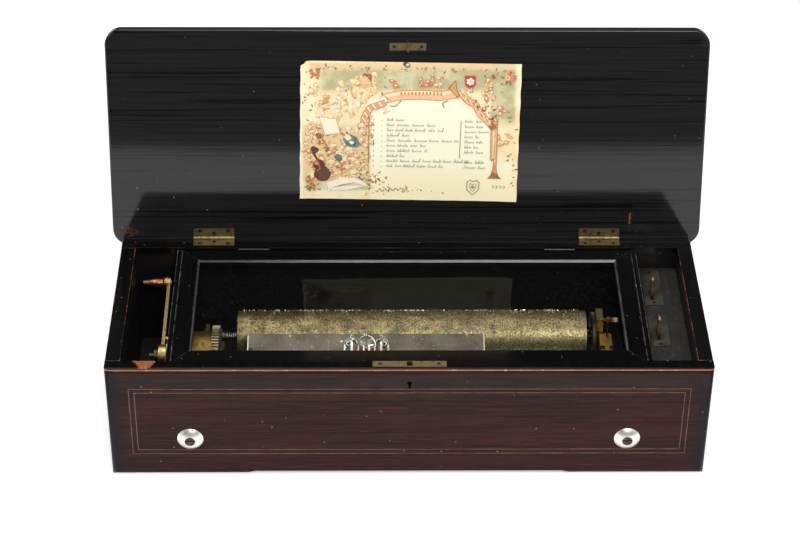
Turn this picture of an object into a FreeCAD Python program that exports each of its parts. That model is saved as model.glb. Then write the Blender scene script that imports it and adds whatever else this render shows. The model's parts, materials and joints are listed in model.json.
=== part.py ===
import FreeCAD, Part
import math
import os

V = FreeCAD.Vector

# Cylinder music box with a hinged lid, an inner glass lid and a lever-wound movement.
# All shapes are modelled in case coordinates: X to the right from the middle of the case,
# Y from the outer front face towards the back, Z up from the surface the case stands on.
# write_parts() then slides everything along Y, so that the origin is the middle of the
# bounding box's base with the lid standing open.

# ---- driving dimensions, in millimetres ----

CASE_W = 560.0
CASE_D = 204.0
CASE_H = 127.0
WALL = 14.0
CORNER_R = 5.0
ARCH_RISE = 4.5
ARCH_HALF_TOP = 145.0
ARCH_HALF_FOOT = 158.0
FLOOR_LOW = 6.0
FLOOR_TOP = 14.0

LID_SIDE = 9.5
LID_FRONT = 7.0
LID_REAR = 9.2
LID_T = 14.0
LID_CORNER_R = 16.0
LID_EDGE_R = 5.0
LID_SEAM = 0.6
LID_LEAN = 14.4

HINGE_Y = 205.8
HINGE_Z = CASE_H + 0.3
HINGE_X = 190.0
HINGE_LENGTH = 40.0
KNUCKLE_R = 2.2
HINGE_PIN_R = 1.0
LEAF_T = 1.5

LOCK_Y = 9.6
STRIKE_X = 17.5

PARTITION_X = 220.0
PARTITION_T = 5.0
PARTITION_TOP = 124.0
CONTROL_TOP = 102.0
CONTROL_T = 5.0

GLASS_X = 219.5
GLASS_FRONT = 14.5
GLASS_BACK = 189.0
RAIL_W = 17.5
OPENING_FRONT = 35.0
OPENING_BACK = 172.0
GLASS_TOP = 124.0
GLASS_LOW = 114.0
GLASS_HINGE_Y = 189.6
GLASS_HINGE_Z = 124.8
GLASS_HINGE_X = 150.0

BED_X = 214.0
BED_FRONT = 20.0
BED_BACK = 180.0
BED_LOW = 40.0
BED_TOP = 49.0
BOLT_X = 204.5
BOLT_Z = 44.5
BOLT_R = 3.0
WASHER_R = 12.2
WASHER_DOME = 5.0
WELL_R = 5.0

CYL_Y = 109.0
CYL_Z = 80.5
CYL_R = 24.5
CYL_WALL = 1.2
CYL_LEFT = -163.0
CYL_RIGHT = 171.0
CYL_ARBOR_R = 3.0
CAP_T = 2.0
RIGHT_CAP_DEPTH = 5.0
RUNNING = 0.05

PINION_TEETH = 12
GREAT_TEETH = 56
GREAT_MODULE = 1.0
GREAT_LEFT = -185.5
GREAT_RIGHT = -179.0
BARREL_Z = 84.0
BARREL_R = 23.0
BARREL_LEFT = -213.0
BARREL_WALL = 1.5
BARREL_ARBOR_R = 4.0

TRAIN_TEETH = 76
TRAIN_MODULE = 0.6
TRAIN_LEFT = 177.0
TRAIN_RIGHT = 180.0
WORM_TEETH = 24
WORM_X = 191.0
WORM_Y = 95.0
SINK_X = 187.8
SINK_Y = 92.6
WORM_R = 2.2
WORM_DISTANCE = 9.8
COCK_TOP = 92.0
COCK_LEFT = 183.0
COCK_RIGHT = 195.5

TUNES = 10
TUNE_STEP = 0.34
SNAIL_OFFSET = 12.0
SNAIL_R = 8.0
FOLLOWER_RADIUS = 5.5

COMB_LEFT = -160.0
COMB_RIGHT = 166.0
COMB_TEETH = 80
COMB_FRONT = 30.0
COMB_TIP = 83.3
COMB_LOW = 79.5
COMB_T = 2.0

ZITHER_LEFT = -152.5
ZITHER_RIGHT = 72.3
ZITHER_PIVOT_Y = 50.0
ZITHER_PIVOT_Z = 90.0
ZITHER_TOP_Y = 83.0
ZITHER_TOP_Z = 104.0
ORNAMENT_X = -39.7
ORNAMENT_W = 43.0

LEVER_X = -233.5
LEVER_T = 3.0
LEVER_REACH = 100.0
LEVER_ANGLE = 6.8
HANDLE_LENGTH = 28.0
RATCHET_TEETH = 16
RATCHET_TIP = 12.0
RATCHET_ROOT = 10.2
RATCHET_LEFT = -229.5
RATCHET_RIGHT = -226.5
LEVER_CLICK_ANGLE = LEVER_ANGLE + 45.0
HOLDING_CLICK_ANGLE = -75.0

CONTROL_X = 237.7
CONTROL_PIVOT_Z = 66.0
CONTROL_TIP_Z = 124.0
START_Y = 85.0
CHANGE_Y = 147.0

CASE_LEAF_MID = 199.0
LID_LEAF_MID = 199.7
LID_LEAF_EDGE = 195.7
LOCK_SCREW_X = 27.0
STRIKE_SCREW_X = 13.0
ESCUTCHEON_SCREWS = ((239.0, 132.5), (239.0, 181.0), (239.0, 68.6), (239.0, 108.5))

CARD_W = 213.0
CARD_H = 141.0
CARD_T = 0.5
CARD_TOP_Y = 24.8
CARD_TILT = 0.95
CARD_X = 3.4
CHIP = 5.0
TACK_Y = 28.2

COMB_BACK_OF_PLATE = 46.0
COMB_SCREW_Y = 37.0
COMB_SCREWS = 11

BRACKET_SCREWS = (
    (-196.4, 124.5),
    (-196.4, 133.0),
    (184.0, 128.0),
    (184.0, 122.0),
    (-216.0, 52.0),
    (-216.0, 98.0),
    (-176.5, 50.0),
    (203.0, 74.0),
    (203.0, 92.0),
)

COCK_SCREWS = ((185.0, 76.0), (193.6, 76.0))

SNAIL_FACE = 175.2

# The great wheel meshes with the cylinder pinion, and the train wheel with the governor
# pinion, so two of the axes follow from the centre distances.
GREAT_DISTANCE = GREAT_MODULE * (GREAT_TEETH + PINION_TEETH) / 2
BARREL_Y = CYL_Y - math.sqrt(GREAT_DISTANCE ** 2 - (BARREL_Z - CYL_Z) ** 2)
TRAIN_DISTANCE = TRAIN_MODULE * (TRAIN_TEETH + PINION_TEETH) / 2
GOVERNOR_Y = WORM_Y - WORM_DISTANCE
GOVERNOR_Z = CYL_Z - math.sqrt(TRAIN_DISTANCE ** 2 - (CYL_Y - GOVERNOR_Y) ** 2)

# ---- shape helpers ----


def box(x0, x1, y0, y1, z0, z1):
    return Part.makeBox(x1 - x0, y1 - y0, z1 - z0, V(x0, y0, z0))


def rod_x(radius, x0, x1, y, z):
    return Part.makeCylinder(radius, x1 - x0, V(x0, y, z), V(1, 0, 0))


def rod_y(radius, x, y0, y1, z):
    return Part.makeCylinder(radius, y1 - y0, V(x, y0, z), V(0, 1, 0))


def rod_z(radius, x, y, z0, z1):
    return Part.makeCylinder(radius, z1 - z0, V(x, y, z0), V(0, 0, 1))


def joined(shapes):
    first = shapes[0]
    return first.fuse(shapes[1:]).removeSplitter() if len(shapes) > 1 else first


def without(shape, tools):
    return shape.cut(tools) if tools else shape


def polar(radius, degrees):
    angle = math.radians(degrees)
    return radius * math.cos(angle), radius * math.sin(angle)


def slab_x(points, x0, x1):
    """A prism along X over an outline of (y, z) points."""
    corners = [V(x0, y, z) for y, z in points]
    face = Part.Face(Part.makePolygon(corners + corners[:1]))
    return face.extrude(V(x1 - x0, 0, 0))


def slab_y(points, y0, y1):
    """A prism along Y over an outline of (x, z) points."""
    corners = [V(x, y0, z) for x, z in points]
    face = Part.Face(Part.makePolygon(corners + corners[:1]))
    return face.extrude(V(0, y1 - y0, 0))


def slab_z(points, z0, z1):
    """A prism along Z over an outline of (x, y) points."""
    corners = [V(x, y, z0) for x, y in points]
    face = Part.Face(Part.makePolygon(corners + corners[:1]))
    return face.extrude(V(0, 0, z1 - z0))


def rounded(shape, radius, wanted):
    """Rounds the edges whose two ends both satisfy wanted(point)."""
    edges = [e for e in shape.Edges if all(wanted(v.Point) for v in e.Vertexes)]
    return shape.makeFillet(radius, edges)


def onto_x_axis(shape, x, y, z):
    """Turns a shape built around the Z axis so that its Z runs along X, its X along Y."""
    moved = shape.copy()
    moved.Placement = FreeCAD.Placement(
        V(x, y, z), FreeCAD.Rotation(V(1, 1, 1), 120)
    ).multiply(moved.Placement)
    return moved


def turned_x(shape, degrees, y, z):
    moved = shape.copy()
    moved.rotate(V(0, y, z), V(1, 0, 0), degrees)
    return moved


def revolved_x(profile, y, z):
    """Turns an outline of (x, radius) points about the X axis through y, z."""
    corners = [V(x, y, z + radius) for x, radius in profile]
    face = Part.Face(Part.makePolygon(corners + corners[:1]))
    return face.revolve(V(0, y, z), V(1, 0, 0), 360)


# ---- gears ----


def involute_angle(base, radius):
    pressure = math.acos(min(1.0, base / radius))
    return math.tan(pressure) - pressure


def gear(teeth, module, width, addendum, backlash, bore, phase):
    """An involute spur gear with 20 degree teeth; one tooth is centred on phase degrees."""
    pitch_r = module * teeth / 2
    base_r = pitch_r * math.cos(math.radians(20))
    tip_r = pitch_r + addendum * module
    root_r = pitch_r - 1.15 * module
    start_r = max(base_r, root_r)
    half_pitch = (math.pi * module / 2 - backlash) / 2 / pitch_r
    half_base = half_pitch + involute_angle(base_r, pitch_r)

    def spot(radius, middle, side):
        flank = half_base - involute_angle(base_r, max(radius, base_r))
        angle = middle + side * flank
        return V(radius * math.cos(angle), radius * math.sin(angle), 0)

    edges = []
    step = 2 * math.pi / teeth
    mean_r = (start_r + tip_r) / 2
    for i in range(teeth):
        middle = math.radians(phase) + i * step
        tip = V(tip_r * math.cos(middle), tip_r * math.sin(middle), 0)
        if root_r < start_r:
            edges.append(Part.LineSegment(spot(root_r, middle, -1), spot(start_r, middle, -1)))
        edges.append(
            Part.Arc(spot(start_r, middle, -1), spot(mean_r, middle, -1), spot(tip_r, middle, -1))
        )
        edges.append(Part.Arc(spot(tip_r, middle, -1), tip, spot(tip_r, middle, 1)))
        edges.append(
            Part.Arc(spot(tip_r, middle, 1), spot(mean_r, middle, 1), spot(start_r, middle, 1))
        )
        if root_r < start_r:
            edges.append(Part.LineSegment(spot(start_r, middle, 1), spot(root_r, middle, 1)))
        edges.append(
            Part.LineSegment(spot(root_r, middle, 1), spot(root_r, middle + step, -1))
        )
    wire = Part.Wire([e.toShape() for e in edges])
    blank = Part.Face(wire).extrude(V(0, 0, width))
    return blank.cut(Part.makeCylinder(bore, width + 2, V(0, 0, -1)))


def ratchet_wheel(width, bore, phase):
    """Saw teeth whose steep faces look back against the winding direction."""
    points = []
    for i in range(RATCHET_TEETH):
        angle = phase + i * 360.0 / RATCHET_TEETH
        points.append(V(*polar(RATCHET_ROOT, angle), 0))
        points.append(V(*polar(RATCHET_TIP, angle), 0))
    face = Part.Face(Part.makePolygon(points + points[:1]))
    blank = face.extrude(V(0, 0, width))
    return blank.cut(Part.makeCylinder(bore, width + 2, V(0, 0, -1)))


def click(width, face_angle, lift, pivot_r):
    """A pawl about the ratchet's centre: its nose stands just behind a steep face."""
    gap = 1.6
    back = face_angle - 360.0 / RATCHET_TEETH
    pivot = V(*polar(22, face_angle - 45), 0)
    nose = polar(RATCHET_ROOT + 0.4 + lift, face_angle - gap)
    brow = polar(RATCHET_TIP + 1.6 + lift, face_angle - gap)
    heel = polar(RATCHET_TIP + 0.6 + lift, back)
    boss = 3.4
    away = pivot - V(*heel, 0)
    side = V(-away.y, away.x, 0).normalize().multiply(boss - 0.6)
    points = [V(*nose, 0), V(*brow, 0), pivot - side, pivot + side, V(*heel, 0)]
    beak = Part.Face(Part.makePolygon(points + points[:1])).extrude(V(0, 0, width))
    body = beak.fuse(Part.makeCylinder(boss, width, pivot))
    return body.cut(Part.makeCylinder(pivot_r, width + 2, pivot - V(0, 0, 1)))


# ---- fasteners ----


def flush_screw(x, y, z, up, head_r, length):
    """A slotted wood screw whose head is flush at z; up is +1 or -1 along Z."""
    turn = V(0, 0, -up)
    head_h = 1.0
    head = Part.makeCylinder(head_r, head_h, V(x, y, z), turn)
    shank = Part.makeCylinder(head_r * 0.5, length, V(x, y, z), turn)
    slot_low = min(z, z - up * 0.5)
    slot = box(x - head_r, x + head_r, y - 0.3, y + 0.3, slot_low, slot_low + 0.5)
    return head.fuse(shank).cut(slot)


def screw_space(x, y, z, up, head_r, length):
    turn = V(0, 0, -up)
    start = V(x, y, z) - turn * 0.01
    head = Part.makeCylinder(head_r + 0.03, 1.04, start, turn)
    return head.fuse(Part.makeCylinder(head_r * 0.5 + 0.03, length + 0.1, start, turn))


def top_screw(x, y, z, head_r, head_h, shank_r, length):
    """A cheese-head screw standing on a face at z, its shank going down."""
    head = rod_z(head_r, x, y, z, z + head_h)
    shank = rod_z(shank_r, x, y, z - length, z)
    slot = box(x - head_r, x + head_r, y - 0.4, y + 0.4, z + head_h - 0.8, z + head_h)
    return head.fuse(shank).cut(slot)


def hinge_screw_places():
    """(x, y) of the three screws in each leaf, with y measured from the leaf's middle."""
    places = []
    for side in (-1, 1):
        for k in (-1, 0, 1):
            places.append((side * HINGE_X + k * 14.0, -1.2 if k else 1.2))
    return places


def case_screw_list():
    found = [(x, CASE_LEAF_MID + dy, CASE_H, 1, 1.9, 10.0) for x, dy in hinge_screw_places()]
    found += [(x, LOCK_Y, CASE_H, 1, 1.9, 10.0) for x in (-LOCK_SCREW_X, LOCK_SCREW_X)]
    found += [(x, y, CONTROL_TOP + 1.2, 1, 1.7, 5.5) for x, y in ESCUTCHEON_SCREWS]
    return found


def lid_screw_list():
    low = CASE_H + LID_SEAM
    found = [(x, LID_LEAF_MID + dy, low, -1, 1.9, 10.0) for x, dy in hinge_screw_places()]
    found += [(x, LOCK_Y, low, -1, 1.6, 9.0) for x in (-STRIKE_SCREW_X, STRIKE_SCREW_X)]
    return found


# ---- case ----


def bolt_holes():
    spots = [-BOLT_X, BOLT_X]
    return [rod_y(BOLT_R + 0.3, x, -1, CASE_D + 1, BOLT_Z) for x in spots]


def case_screw_spaces():
    return [screw_space(*row) for row in case_screw_list()]


def case_leaf_pockets():
    pockets = []
    for side in (-1, 1):
        x0 = side * HINGE_X - HINGE_LENGTH / 2
        x1 = x0 + HINGE_LENGTH
        pockets.append(box(x0, x1, CASE_LEAF_MID - 5.0, CASE_D + 1, CASE_H - LEAF_T, CASE_H + 1))
        pockets.append(rod_x(KNUCKLE_R + 0.4, x0 - 0.5, x1 + 0.5, HINGE_Y, HINGE_Z))
    return pockets


def key_hole(y0, y1):
    round_part = rod_y(2.2, 0, y0, y1, 111.5)
    return round_part.fuse(box(-1.1, 1.1, y0, y1, 105.0, 111.5))


def front_board():
    half = CASE_W / 2
    board = box(-half, half, 0, WALL, 0, CASE_H)
    board = rounded(board, CORNER_R, lambda p: abs(p.x) > half - 1 and p.y < 1)
    arch = slab_y(
        [
            (-ARCH_HALF_FOOT - 2, -1),
            (-ARCH_HALF_FOOT, 0),
            (-ARCH_HALF_TOP, ARCH_RISE),
            (ARCH_HALF_TOP, ARCH_RISE),
            (ARCH_HALF_FOOT, 0),
            (ARCH_HALF_FOOT + 2, -1),
        ],
        -1,
        WALL + 1,
    )
    lock_mortise = box(-32, 32, 6, WALL + 1, 95, CASE_H - LEAF_T)
    plate_seat = box(-34, 34, LOCK_Y - 4, LOCK_Y + 4, CASE_H - LEAF_T, CASE_H + 1)
    tools = [arch, lock_mortise, plate_seat, key_hole(-1, 7)]
    return without(board, tools + bolt_holes() + case_screw_spaces())


def back_board():
    half = CASE_W / 2
    board = box(-half, half, CASE_D - WALL, CASE_D, 0, CASE_H)
    board = rounded(board, CORNER_R, lambda p: abs(p.x) > half - 1 and p.y > CASE_D - 1)
    tools = case_leaf_pockets() + bolt_holes() + case_screw_spaces()
    for side in (-1, 1):
        x0 = side * GLASS_HINGE_X - 15.0
        tools.append(box(x0, x0 + 30, 189, 191, 112, CASE_H + 1))
        tools.append(rod_x(1.8, x0 - 0.3, x0 + 30.3, GLASS_HINGE_Y, GLASS_HINGE_Z))
    return without(board, tools)


def side_board(side):
    half = CASE_W / 2
    x0, x1 = sorted((side * half, side * (half - WALL)))
    return box(x0, x1, WALL, CASE_D - WALL, 0, CASE_H)


def bottom_board():
    half = CASE_W / 2 - WALL
    return box(-half, half, WALL, CASE_D - WALL, FLOOR_LOW, FLOOR_TOP)


def partitions():
    found = []
    for side in (-1, 1):
        x0, x1 = sorted((side * PARTITION_X, side * (PARTITION_X + PARTITION_T)))
        wall = box(x0, x1, WALL, CASE_D - WALL, FLOOR_TOP, PARTITION_TOP)
        if side < 0:
            pivot = click_pivot(HOLDING_CLICK_ANGLE)
            tools = [rod_x(6.0, x0 - 1, x1 + 1, BARREL_Y, BARREL_Z)]
            tools.append(rod_x(1.5, x0 - 1, x1 - 0.5, *pivot))
        else:
            tools = [rod_x(1.5, x0 + 0.5, x1 + 1, y, CONTROL_PIVOT_Z) for y in (START_Y, CHANGE_Y)]
        found.append(wall.cut(tools))
    return Part.makeCompound(found)


def inner_rails():
    """Bearers under the bedplate, ledges under the glass lid and cleats under the controls."""
    low = BED_LOW - 12.0
    rails = [box(-BED_X, BED_X, WALL, WALL + 14, low, BED_LOW)]
    rails.append(box(-BED_X, BED_X, CASE_D - WALL - 14, CASE_D - WALL, low, BED_LOW))
    ledge = GLASS_LOW - 0.2
    rails.append(box(-GLASS_X, GLASS_X, WALL, WALL + 5, ledge - 6, ledge))
    rails.append(box(-GLASS_X, GLASS_X, CASE_D - WALL - 5, CASE_D - WALL, ledge - 6, ledge))
    under = CONTROL_TOP - CONTROL_T
    inner = PARTITION_X + PARTITION_T
    outer = CASE_W / 2 - WALL
    rails.append(box(inner, inner + 5, WALL, CASE_D - WALL, under - 6, under))
    rails.append(box(outer - 5, outer, WALL, CASE_D - WALL, under - 6, under))
    return Part.makeCompound(rails)


def control_slot(y, z0, z1):
    return box(CONTROL_X - 1.7, CONTROL_X + 1.7, y - 10.5, y + 5.5, z0, z1)


def control_board():
    x0 = PARTITION_X + PARTITION_T
    x1 = CASE_W / 2 - WALL
    board = box(x0, x1, WALL, CASE_D - WALL, CONTROL_TOP - CONTROL_T, CONTROL_TOP)
    tools = [control_slot(y, 90, 110) for y in (START_Y, CHANGE_Y)]
    return without(board, tools + case_screw_spaces())


def control_escutcheons():
    plates = []
    for y0, y1, slot_y in ((65.2, 112.0, START_Y), (128.7, 184.8, CHANGE_Y)):
        plate = box(230.5, 248.5, y0, y1, CONTROL_TOP, CONTROL_TOP + 1.2)
        plates.append(without(plate, [control_slot(slot_y, 90, 110)] + case_screw_spaces()))
    return Part.makeCompound(plates)


def case_screws():
    found = [flush_screw(*row) for row in case_screw_list()]
    for y in (START_Y, CHANGE_Y):
        found.append(control_stud(y))
    return Part.makeCompound(found)


def control_stud(y):
    """A shouldered stud in the right partition that a control lever swings on."""
    x0 = PARTITION_X + 0.6
    low = CONTROL_X - 1.0 - 0.2
    high = CONTROL_X + 1.0 + 0.2
    face = PARTITION_X + PARTITION_T
    profile = [(x0, 0), (x0, 1.5), (face, 1.5), (face, 3.2), (low, 3.2), (low, 1.5)]
    profile += [(high, 1.5), (high, 3.2), (high + 1.8, 3.2), (high + 1.8, 0)]
    return revolved_x(profile, y, CONTROL_PIVOT_Z)


def case_bolt(x, side):
    """side is +1 for a front bolt and -1 for a back bolt."""
    face = 0.0 if side > 0 else CASE_D
    head_y = face - side * 3.6
    head = Part.makeCylinder(4.7, 2.6, V(x, head_y, BOLT_Z), V(0, side, 0))
    shank = Part.makeCylinder(BOLT_R, 40.0, V(x, head_y, BOLT_Z), V(0, side, 0))
    y0, y1 = sorted((head_y, head_y + side * 1.0))
    slot = box(x - 5, x + 5, y0, y1, BOLT_Z - 0.6, BOLT_Z + 0.6)
    return head.fuse(shank).cut(slot)


def case_bolts():
    return Part.makeCompound([case_bolt(x, s) for x in (-BOLT_X, BOLT_X) for s in (1, -1)])


def dome_radius():
    return (WASHER_R ** 2 + WASHER_DOME ** 2) / (2 * WASHER_DOME)


def washer_stand():
    """How far a washer stands out at the rim of its recess."""
    lost = dome_radius() - math.sqrt(dome_radius() ** 2 - WELL_R ** 2)
    return WASHER_DOME - lost


def bolt_washer(x, side):
    """A domed washer with a recess for the bolt head."""
    face = 0.0 if side > 0 else CASE_D
    middle = face + side * (dome_radius() - WASHER_DOME)
    ball = Part.makeSphere(dome_radius(), V(x, middle, BOLT_Z))
    y0, y1 = sorted((face, face - side * (WASHER_DOME + 1)))
    cap = ball.common(box(x - 20, x + 20, y0, y1, BOLT_Z - 20, BOLT_Z + 20))
    well_y0, well_y1 = sorted((face - side * 1.0, face - side * (WASHER_DOME + 1)))
    well = rod_y(WELL_R, x, well_y0, well_y1, BOLT_Z)
    hole = rod_y(BOLT_R + 0.1, x, min(y0, y1) - 1, max(y0, y1) + 1, BOLT_Z)
    return cap.cut([well, hole])


def bolt_washers():
    return Part.makeCompound([bolt_washer(x, s) for x in (-BOLT_X, BOLT_X) for s in (1, -1)])


# ---- lock ----


def lock_case():
    """The lock's box and its top plate, one riveted piece, hollow for the bolt."""
    body = box(-32, 32, 6, WALL, 95, CASE_H - LEAF_T)
    hollow = box(-30, 30, 7.2, 12.8, 97, CASE_H - LEAF_T - 1.5)
    plate = box(-34, 34, LOCK_Y - 4, LOCK_Y + 4, CASE_H - LEAF_T, CASE_H)
    mouth = box(-2.6, 2.6, LOCK_Y - 3.2, LOCK_Y + 3.2, 120, CASE_H + 1)
    pin = rod_y(1.0, 0, 7.2, 12.8, 111.5)
    shell = body.cut([hollow, mouth, key_hole(5, 7.2)]).fuse(plate.cut(mouth)).fuse(pin)
    return without(shell, [screw_space(*row) for row in case_screw_list()[6:8]])


def lock_bolt():
    bar = box(-26, -8, 8.0, 11.2, 114.5, 123.2)
    finger = box(-8, -3.2, LOCK_Y - 0.9, LOCK_Y + 0.9, 119.4, 122.4)
    talon = box(-14, 8, 8.0, 9.2, 114.5, 117.0)
    return joined([bar, finger, talon])


def strike_plate():
    low = CASE_H + LID_SEAM
    x0 = -STRIKE_X
    plate = box(x0, x0 + 2 * STRIKE_X, LOCK_Y - 3.7, LOCK_Y + 3.7, low, low + LEAF_T)
    staple = box(-1, 1, LOCK_Y - 2.1, LOCK_Y + 2.5, low - 9.6, low)
    eye = box(-2, 2, LOCK_Y - 1.3, LOCK_Y + 1.3, 118.8, 123.0)
    tools = [eye] + [screw_space(*row) for row in lid_screw_list()[6:8]]
    return plate.fuse(staple).cut(tools)


# ---- lid hinges ----


def knuckles(x_middle, own, radius):
    """The knuckle segments of one leaf; own lists their places out of five."""
    pitch = HINGE_LENGTH / 5
    found = []
    for k in own:
        x0 = x_middle - HINGE_LENGTH / 2 + k * pitch
        grow = 0.0 if radius > KNUCKLE_R else -0.15
        found.append(rod_x(radius, x0 - grow, x0 + pitch + grow, HINGE_Y, HINGE_Z))
    return found


def hinge_leaf(x_middle, own, other, y0, z0, screws):
    x0 = x_middle - HINGE_LENGTH / 2
    leaf = box(x0, x0 + HINGE_LENGTH, y0, HINGE_Y, z0, z0 + LEAF_T)
    leaf = leaf.cut(knuckles(x_middle, other, KNUCKLE_R + 0.3))
    leaf = leaf.fuse(knuckles(x_middle, own, KNUCKLE_R))
    bore = rod_x(HINGE_PIN_R + RUNNING, x0 - 1, x0 + HINGE_LENGTH + 1, HINGE_Y, HINGE_Z)
    return leaf.cut([bore] + screws)


def case_hinge_leaves():
    found = []
    spaces = case_screw_spaces()[:6]
    for side in (-1, 1):
        y0 = CASE_LEAF_MID - 5.0
        found.append(
            hinge_leaf(side * HINGE_X, (0, 2, 4), (1, 3), y0, CASE_H - LEAF_T, spaces)
        )
        x0 = side * HINGE_X - HINGE_LENGTH / 2
        found.append(rod_x(HINGE_PIN_R, x0, x0 + HINGE_LENGTH, HINGE_Y, HINGE_Z))
    return Part.makeCompound(found)


def lid_hinge_leaves():
    spaces = [screw_space(*row) for row in lid_screw_list()[:6]]
    low = CASE_H + LID_SEAM
    return Part.makeCompound(
        [
            hinge_leaf(side * HINGE_X, (1, 3), (0, 2, 4), LID_LEAF_EDGE, low, spaces)
            for side in (-1, 1)
        ]
    )


# ---- lid, built shut ----


def lid_panel():
    half = CASE_W / 2 + LID_SIDE
    low = CASE_H + LID_SEAM
    panel = box(-half, half, -LID_FRONT, CASE_D + LID_REAR, low, low + LID_T)
    upright = [e for e in panel.Edges if abs(e.Vertexes[0].Z - e.Vertexes[1].Z) > 1]
    panel = panel.makeFillet(LID_CORNER_R, upright)
    rim = [e for e in panel.Edges if all(v.Z > low + LID_T - 0.01 for v in e.Vertexes)]
    panel = panel.makeFillet(LID_EDGE_R, rim)
    rim = [e for e in panel.Edges if all(v.Z < low + 0.01 for v in e.Vertexes)]
    panel = panel.makeFillet(2.0, rim)
    tools = []
    for side in (-1, 1):
        x0 = side * HINGE_X - HINGE_LENGTH / 2
        x1 = x0 + HINGE_LENGTH
        tools.append(box(x0, x1, LID_LEAF_EDGE, HINGE_Y, low - 1, low + LEAF_T))
        tools.append(rod_x(KNUCKLE_R + 0.4, x0 - 0.5, x1 + 0.5, HINGE_Y, HINGE_Z))
    y0 = LOCK_Y - 3.7
    tools.append(box(-STRIKE_X, STRIKE_X, y0, LOCK_Y + 3.7, low - 1, low + LEAF_T))
    tools.append(rod_z(0.8, 0, TACK_Y, low - 1, low + 7.0))
    return without(panel, tools + [screw_space(*row) for row in lid_screw_list()])


def tune_card():
    """A cardboard card with clipped, worn corners, hung slightly askew."""
    half = CARD_W / 2
    outline = [
        (-half, CHIP),
        (-half + CHIP, 0),
        (half - 1.5, 0),
        (half, 1.5),
        (half, CARD_H - 1.5),
        (half - 1.5, CARD_H),
        (-half + 1.5, CARD_H),
        (-half, CARD_H - 1.5),
    ]
    high = CASE_H + LID_SEAM
    card = slab_z([(x + CARD_X, y + CARD_TOP_Y) for x, y in outline], high - CARD_T, high)
    card.rotate(V(CARD_X, CARD_TOP_Y, 0), V(0, 0, 1), CARD_TILT)
    return card.cut(rod_z(0.8, 0, TACK_Y, high - 2, high + 2))


def card_tack():
    face = CASE_H + LID_SEAM - CARD_T
    dome = Part.makeSphere(3.0, V(0, TACK_Y, face + 1.6))
    head = dome.common(box(-4, 4, TACK_Y - 4, TACK_Y + 4, face - 2, face))
    return head.fuse(rod_z(0.8, 0, TACK_Y, face - 0.5, face + 7.0))


def lid_screws():
    return Part.makeCompound([flush_screw(*row) for row in lid_screw_list()])


# ---- glass lid ----


def rail_cuts():
    front = OPENING_FRONT
    back = OPENING_BACK
    rebate = box(-206.2, 206.2, front - 4.2, back + 4.2, GLASS_LOW - 1, 118.5)
    inner = rectangle(202.0, front, back, 122.0)
    outer = rectangle(204.0, front - 2.0, back + 2.0, GLASS_TOP)
    bevel = Part.makeLoft([inner, outer], True)
    cuts = [rebate, bevel]
    for side in (-1, 1):
        x0 = side * GLASS_HINGE_X - 15.0
        cuts.append(box(x0, x0 + 30, 188, 190, 116, GLASS_TOP + 1))
        cuts.append(rod_x(1.8, x0 - 0.3, x0 + 30.3, GLASS_HINGE_Y, GLASS_HINGE_Z))
    return cuts


def rectangle(x, y0, y1, z):
    corners = [V(-x, y0, z), V(x, y0, z), V(x, y1, z), V(-x, y1, z)]
    return Part.makePolygon(corners + corners[:1])


def glass_frame_long_rails():
    inner_x = GLASS_X - RAIL_W
    front = [
        (-GLASS_X, GLASS_FRONT),
        (GLASS_X, GLASS_FRONT),
        (inner_x, OPENING_FRONT),
        (-inner_x, OPENING_FRONT),
    ]
    back = [
        (-inner_x, OPENING_BACK),
        (inner_x, OPENING_BACK),
        (GLASS_X, GLASS_BACK),
        (-GLASS_X, GLASS_BACK),
    ]
    rails = [slab_z(outline, GLASS_LOW, GLASS_TOP).cut(rail_cuts()) for outline in (front, back)]
    return Part.makeCompound(rails)


def glass_frame_short_rails():
    rails = []
    for side in (-1, 1):
        outline = [
            (side * GLASS_X, GLASS_FRONT),
            (side * (GLASS_X - RAIL_W), OPENING_FRONT),
            (side * (GLASS_X - RAIL_W), OPENING_BACK),
            (side * GLASS_X, GLASS_BACK),
        ]
        rails.append(slab_z(outline, GLASS_LOW, GLASS_TOP).cut(rail_cuts()))
    return Part.makeCompound(rails)


def glass_pane():
    return box(-206, 206, OPENING_FRONT - 4, OPENING_BACK + 4, 116.0, 118.5)


def small_knuckles(x0, own, radius, grow):
    return [
        rod_x(radius, x0 + k * 10 - grow, x0 + k * 10 + 10 + grow, GLASS_HINGE_Y, GLASS_HINGE_Z)
        for k in own
    ]


def glass_hinge_leaf(x0, own, other, y0, y1, z0):
    leaf = box(x0, x0 + 30, y0, y1, z0, GLASS_HINGE_Z)
    leaf = leaf.cut(small_knuckles(x0, other, 1.8, 0.0))
    leaf = leaf.fuse(small_knuckles(x0, own, 1.5, -0.15))
    return leaf.cut(rod_x(0.75, x0 - 1, x0 + 31, GLASS_HINGE_Y, GLASS_HINGE_Z))


def glass_hinge_case_leaves():
    found = []
    for side in (-1, 1):
        x0 = side * GLASS_HINGE_X - 15.0
        found.append(glass_hinge_leaf(x0, (0, 2), (1,), 190.0, 191.0, 112.0))
        found.append(rod_x(0.7, x0, x0 + 30, GLASS_HINGE_Y, GLASS_HINGE_Z))
    return Part.makeCompound(found)


def glass_hinge_frame_leaves():
    found = []
    for side in (-1, 1):
        x0 = side * GLASS_HINGE_X - 15.0
        found.append(glass_hinge_leaf(x0, (1,), (0, 2), 188.0, 189.0, 116.0))
    return Part.makeCompound(found)


# ---- bedplate, comb and brackets ----


def bedplate():
    plate = box(-BED_X, BED_X, BED_FRONT, BED_BACK, BED_LOW, BED_TOP)
    plate = rounded(plate, 2.0, lambda p: p.z > BED_TOP - 0.1)
    holes = []
    for x in (-BOLT_X, BOLT_X):
        holes.append(rod_y(BOLT_R + 0.02, x, BED_FRONT - 1, 37, BOLT_Z))
        holes.append(rod_y(BOLT_R + 0.02, x, 167, BED_BACK + 1, BOLT_Z))
    return plate.cut(holes + movement_screw_spaces())


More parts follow.
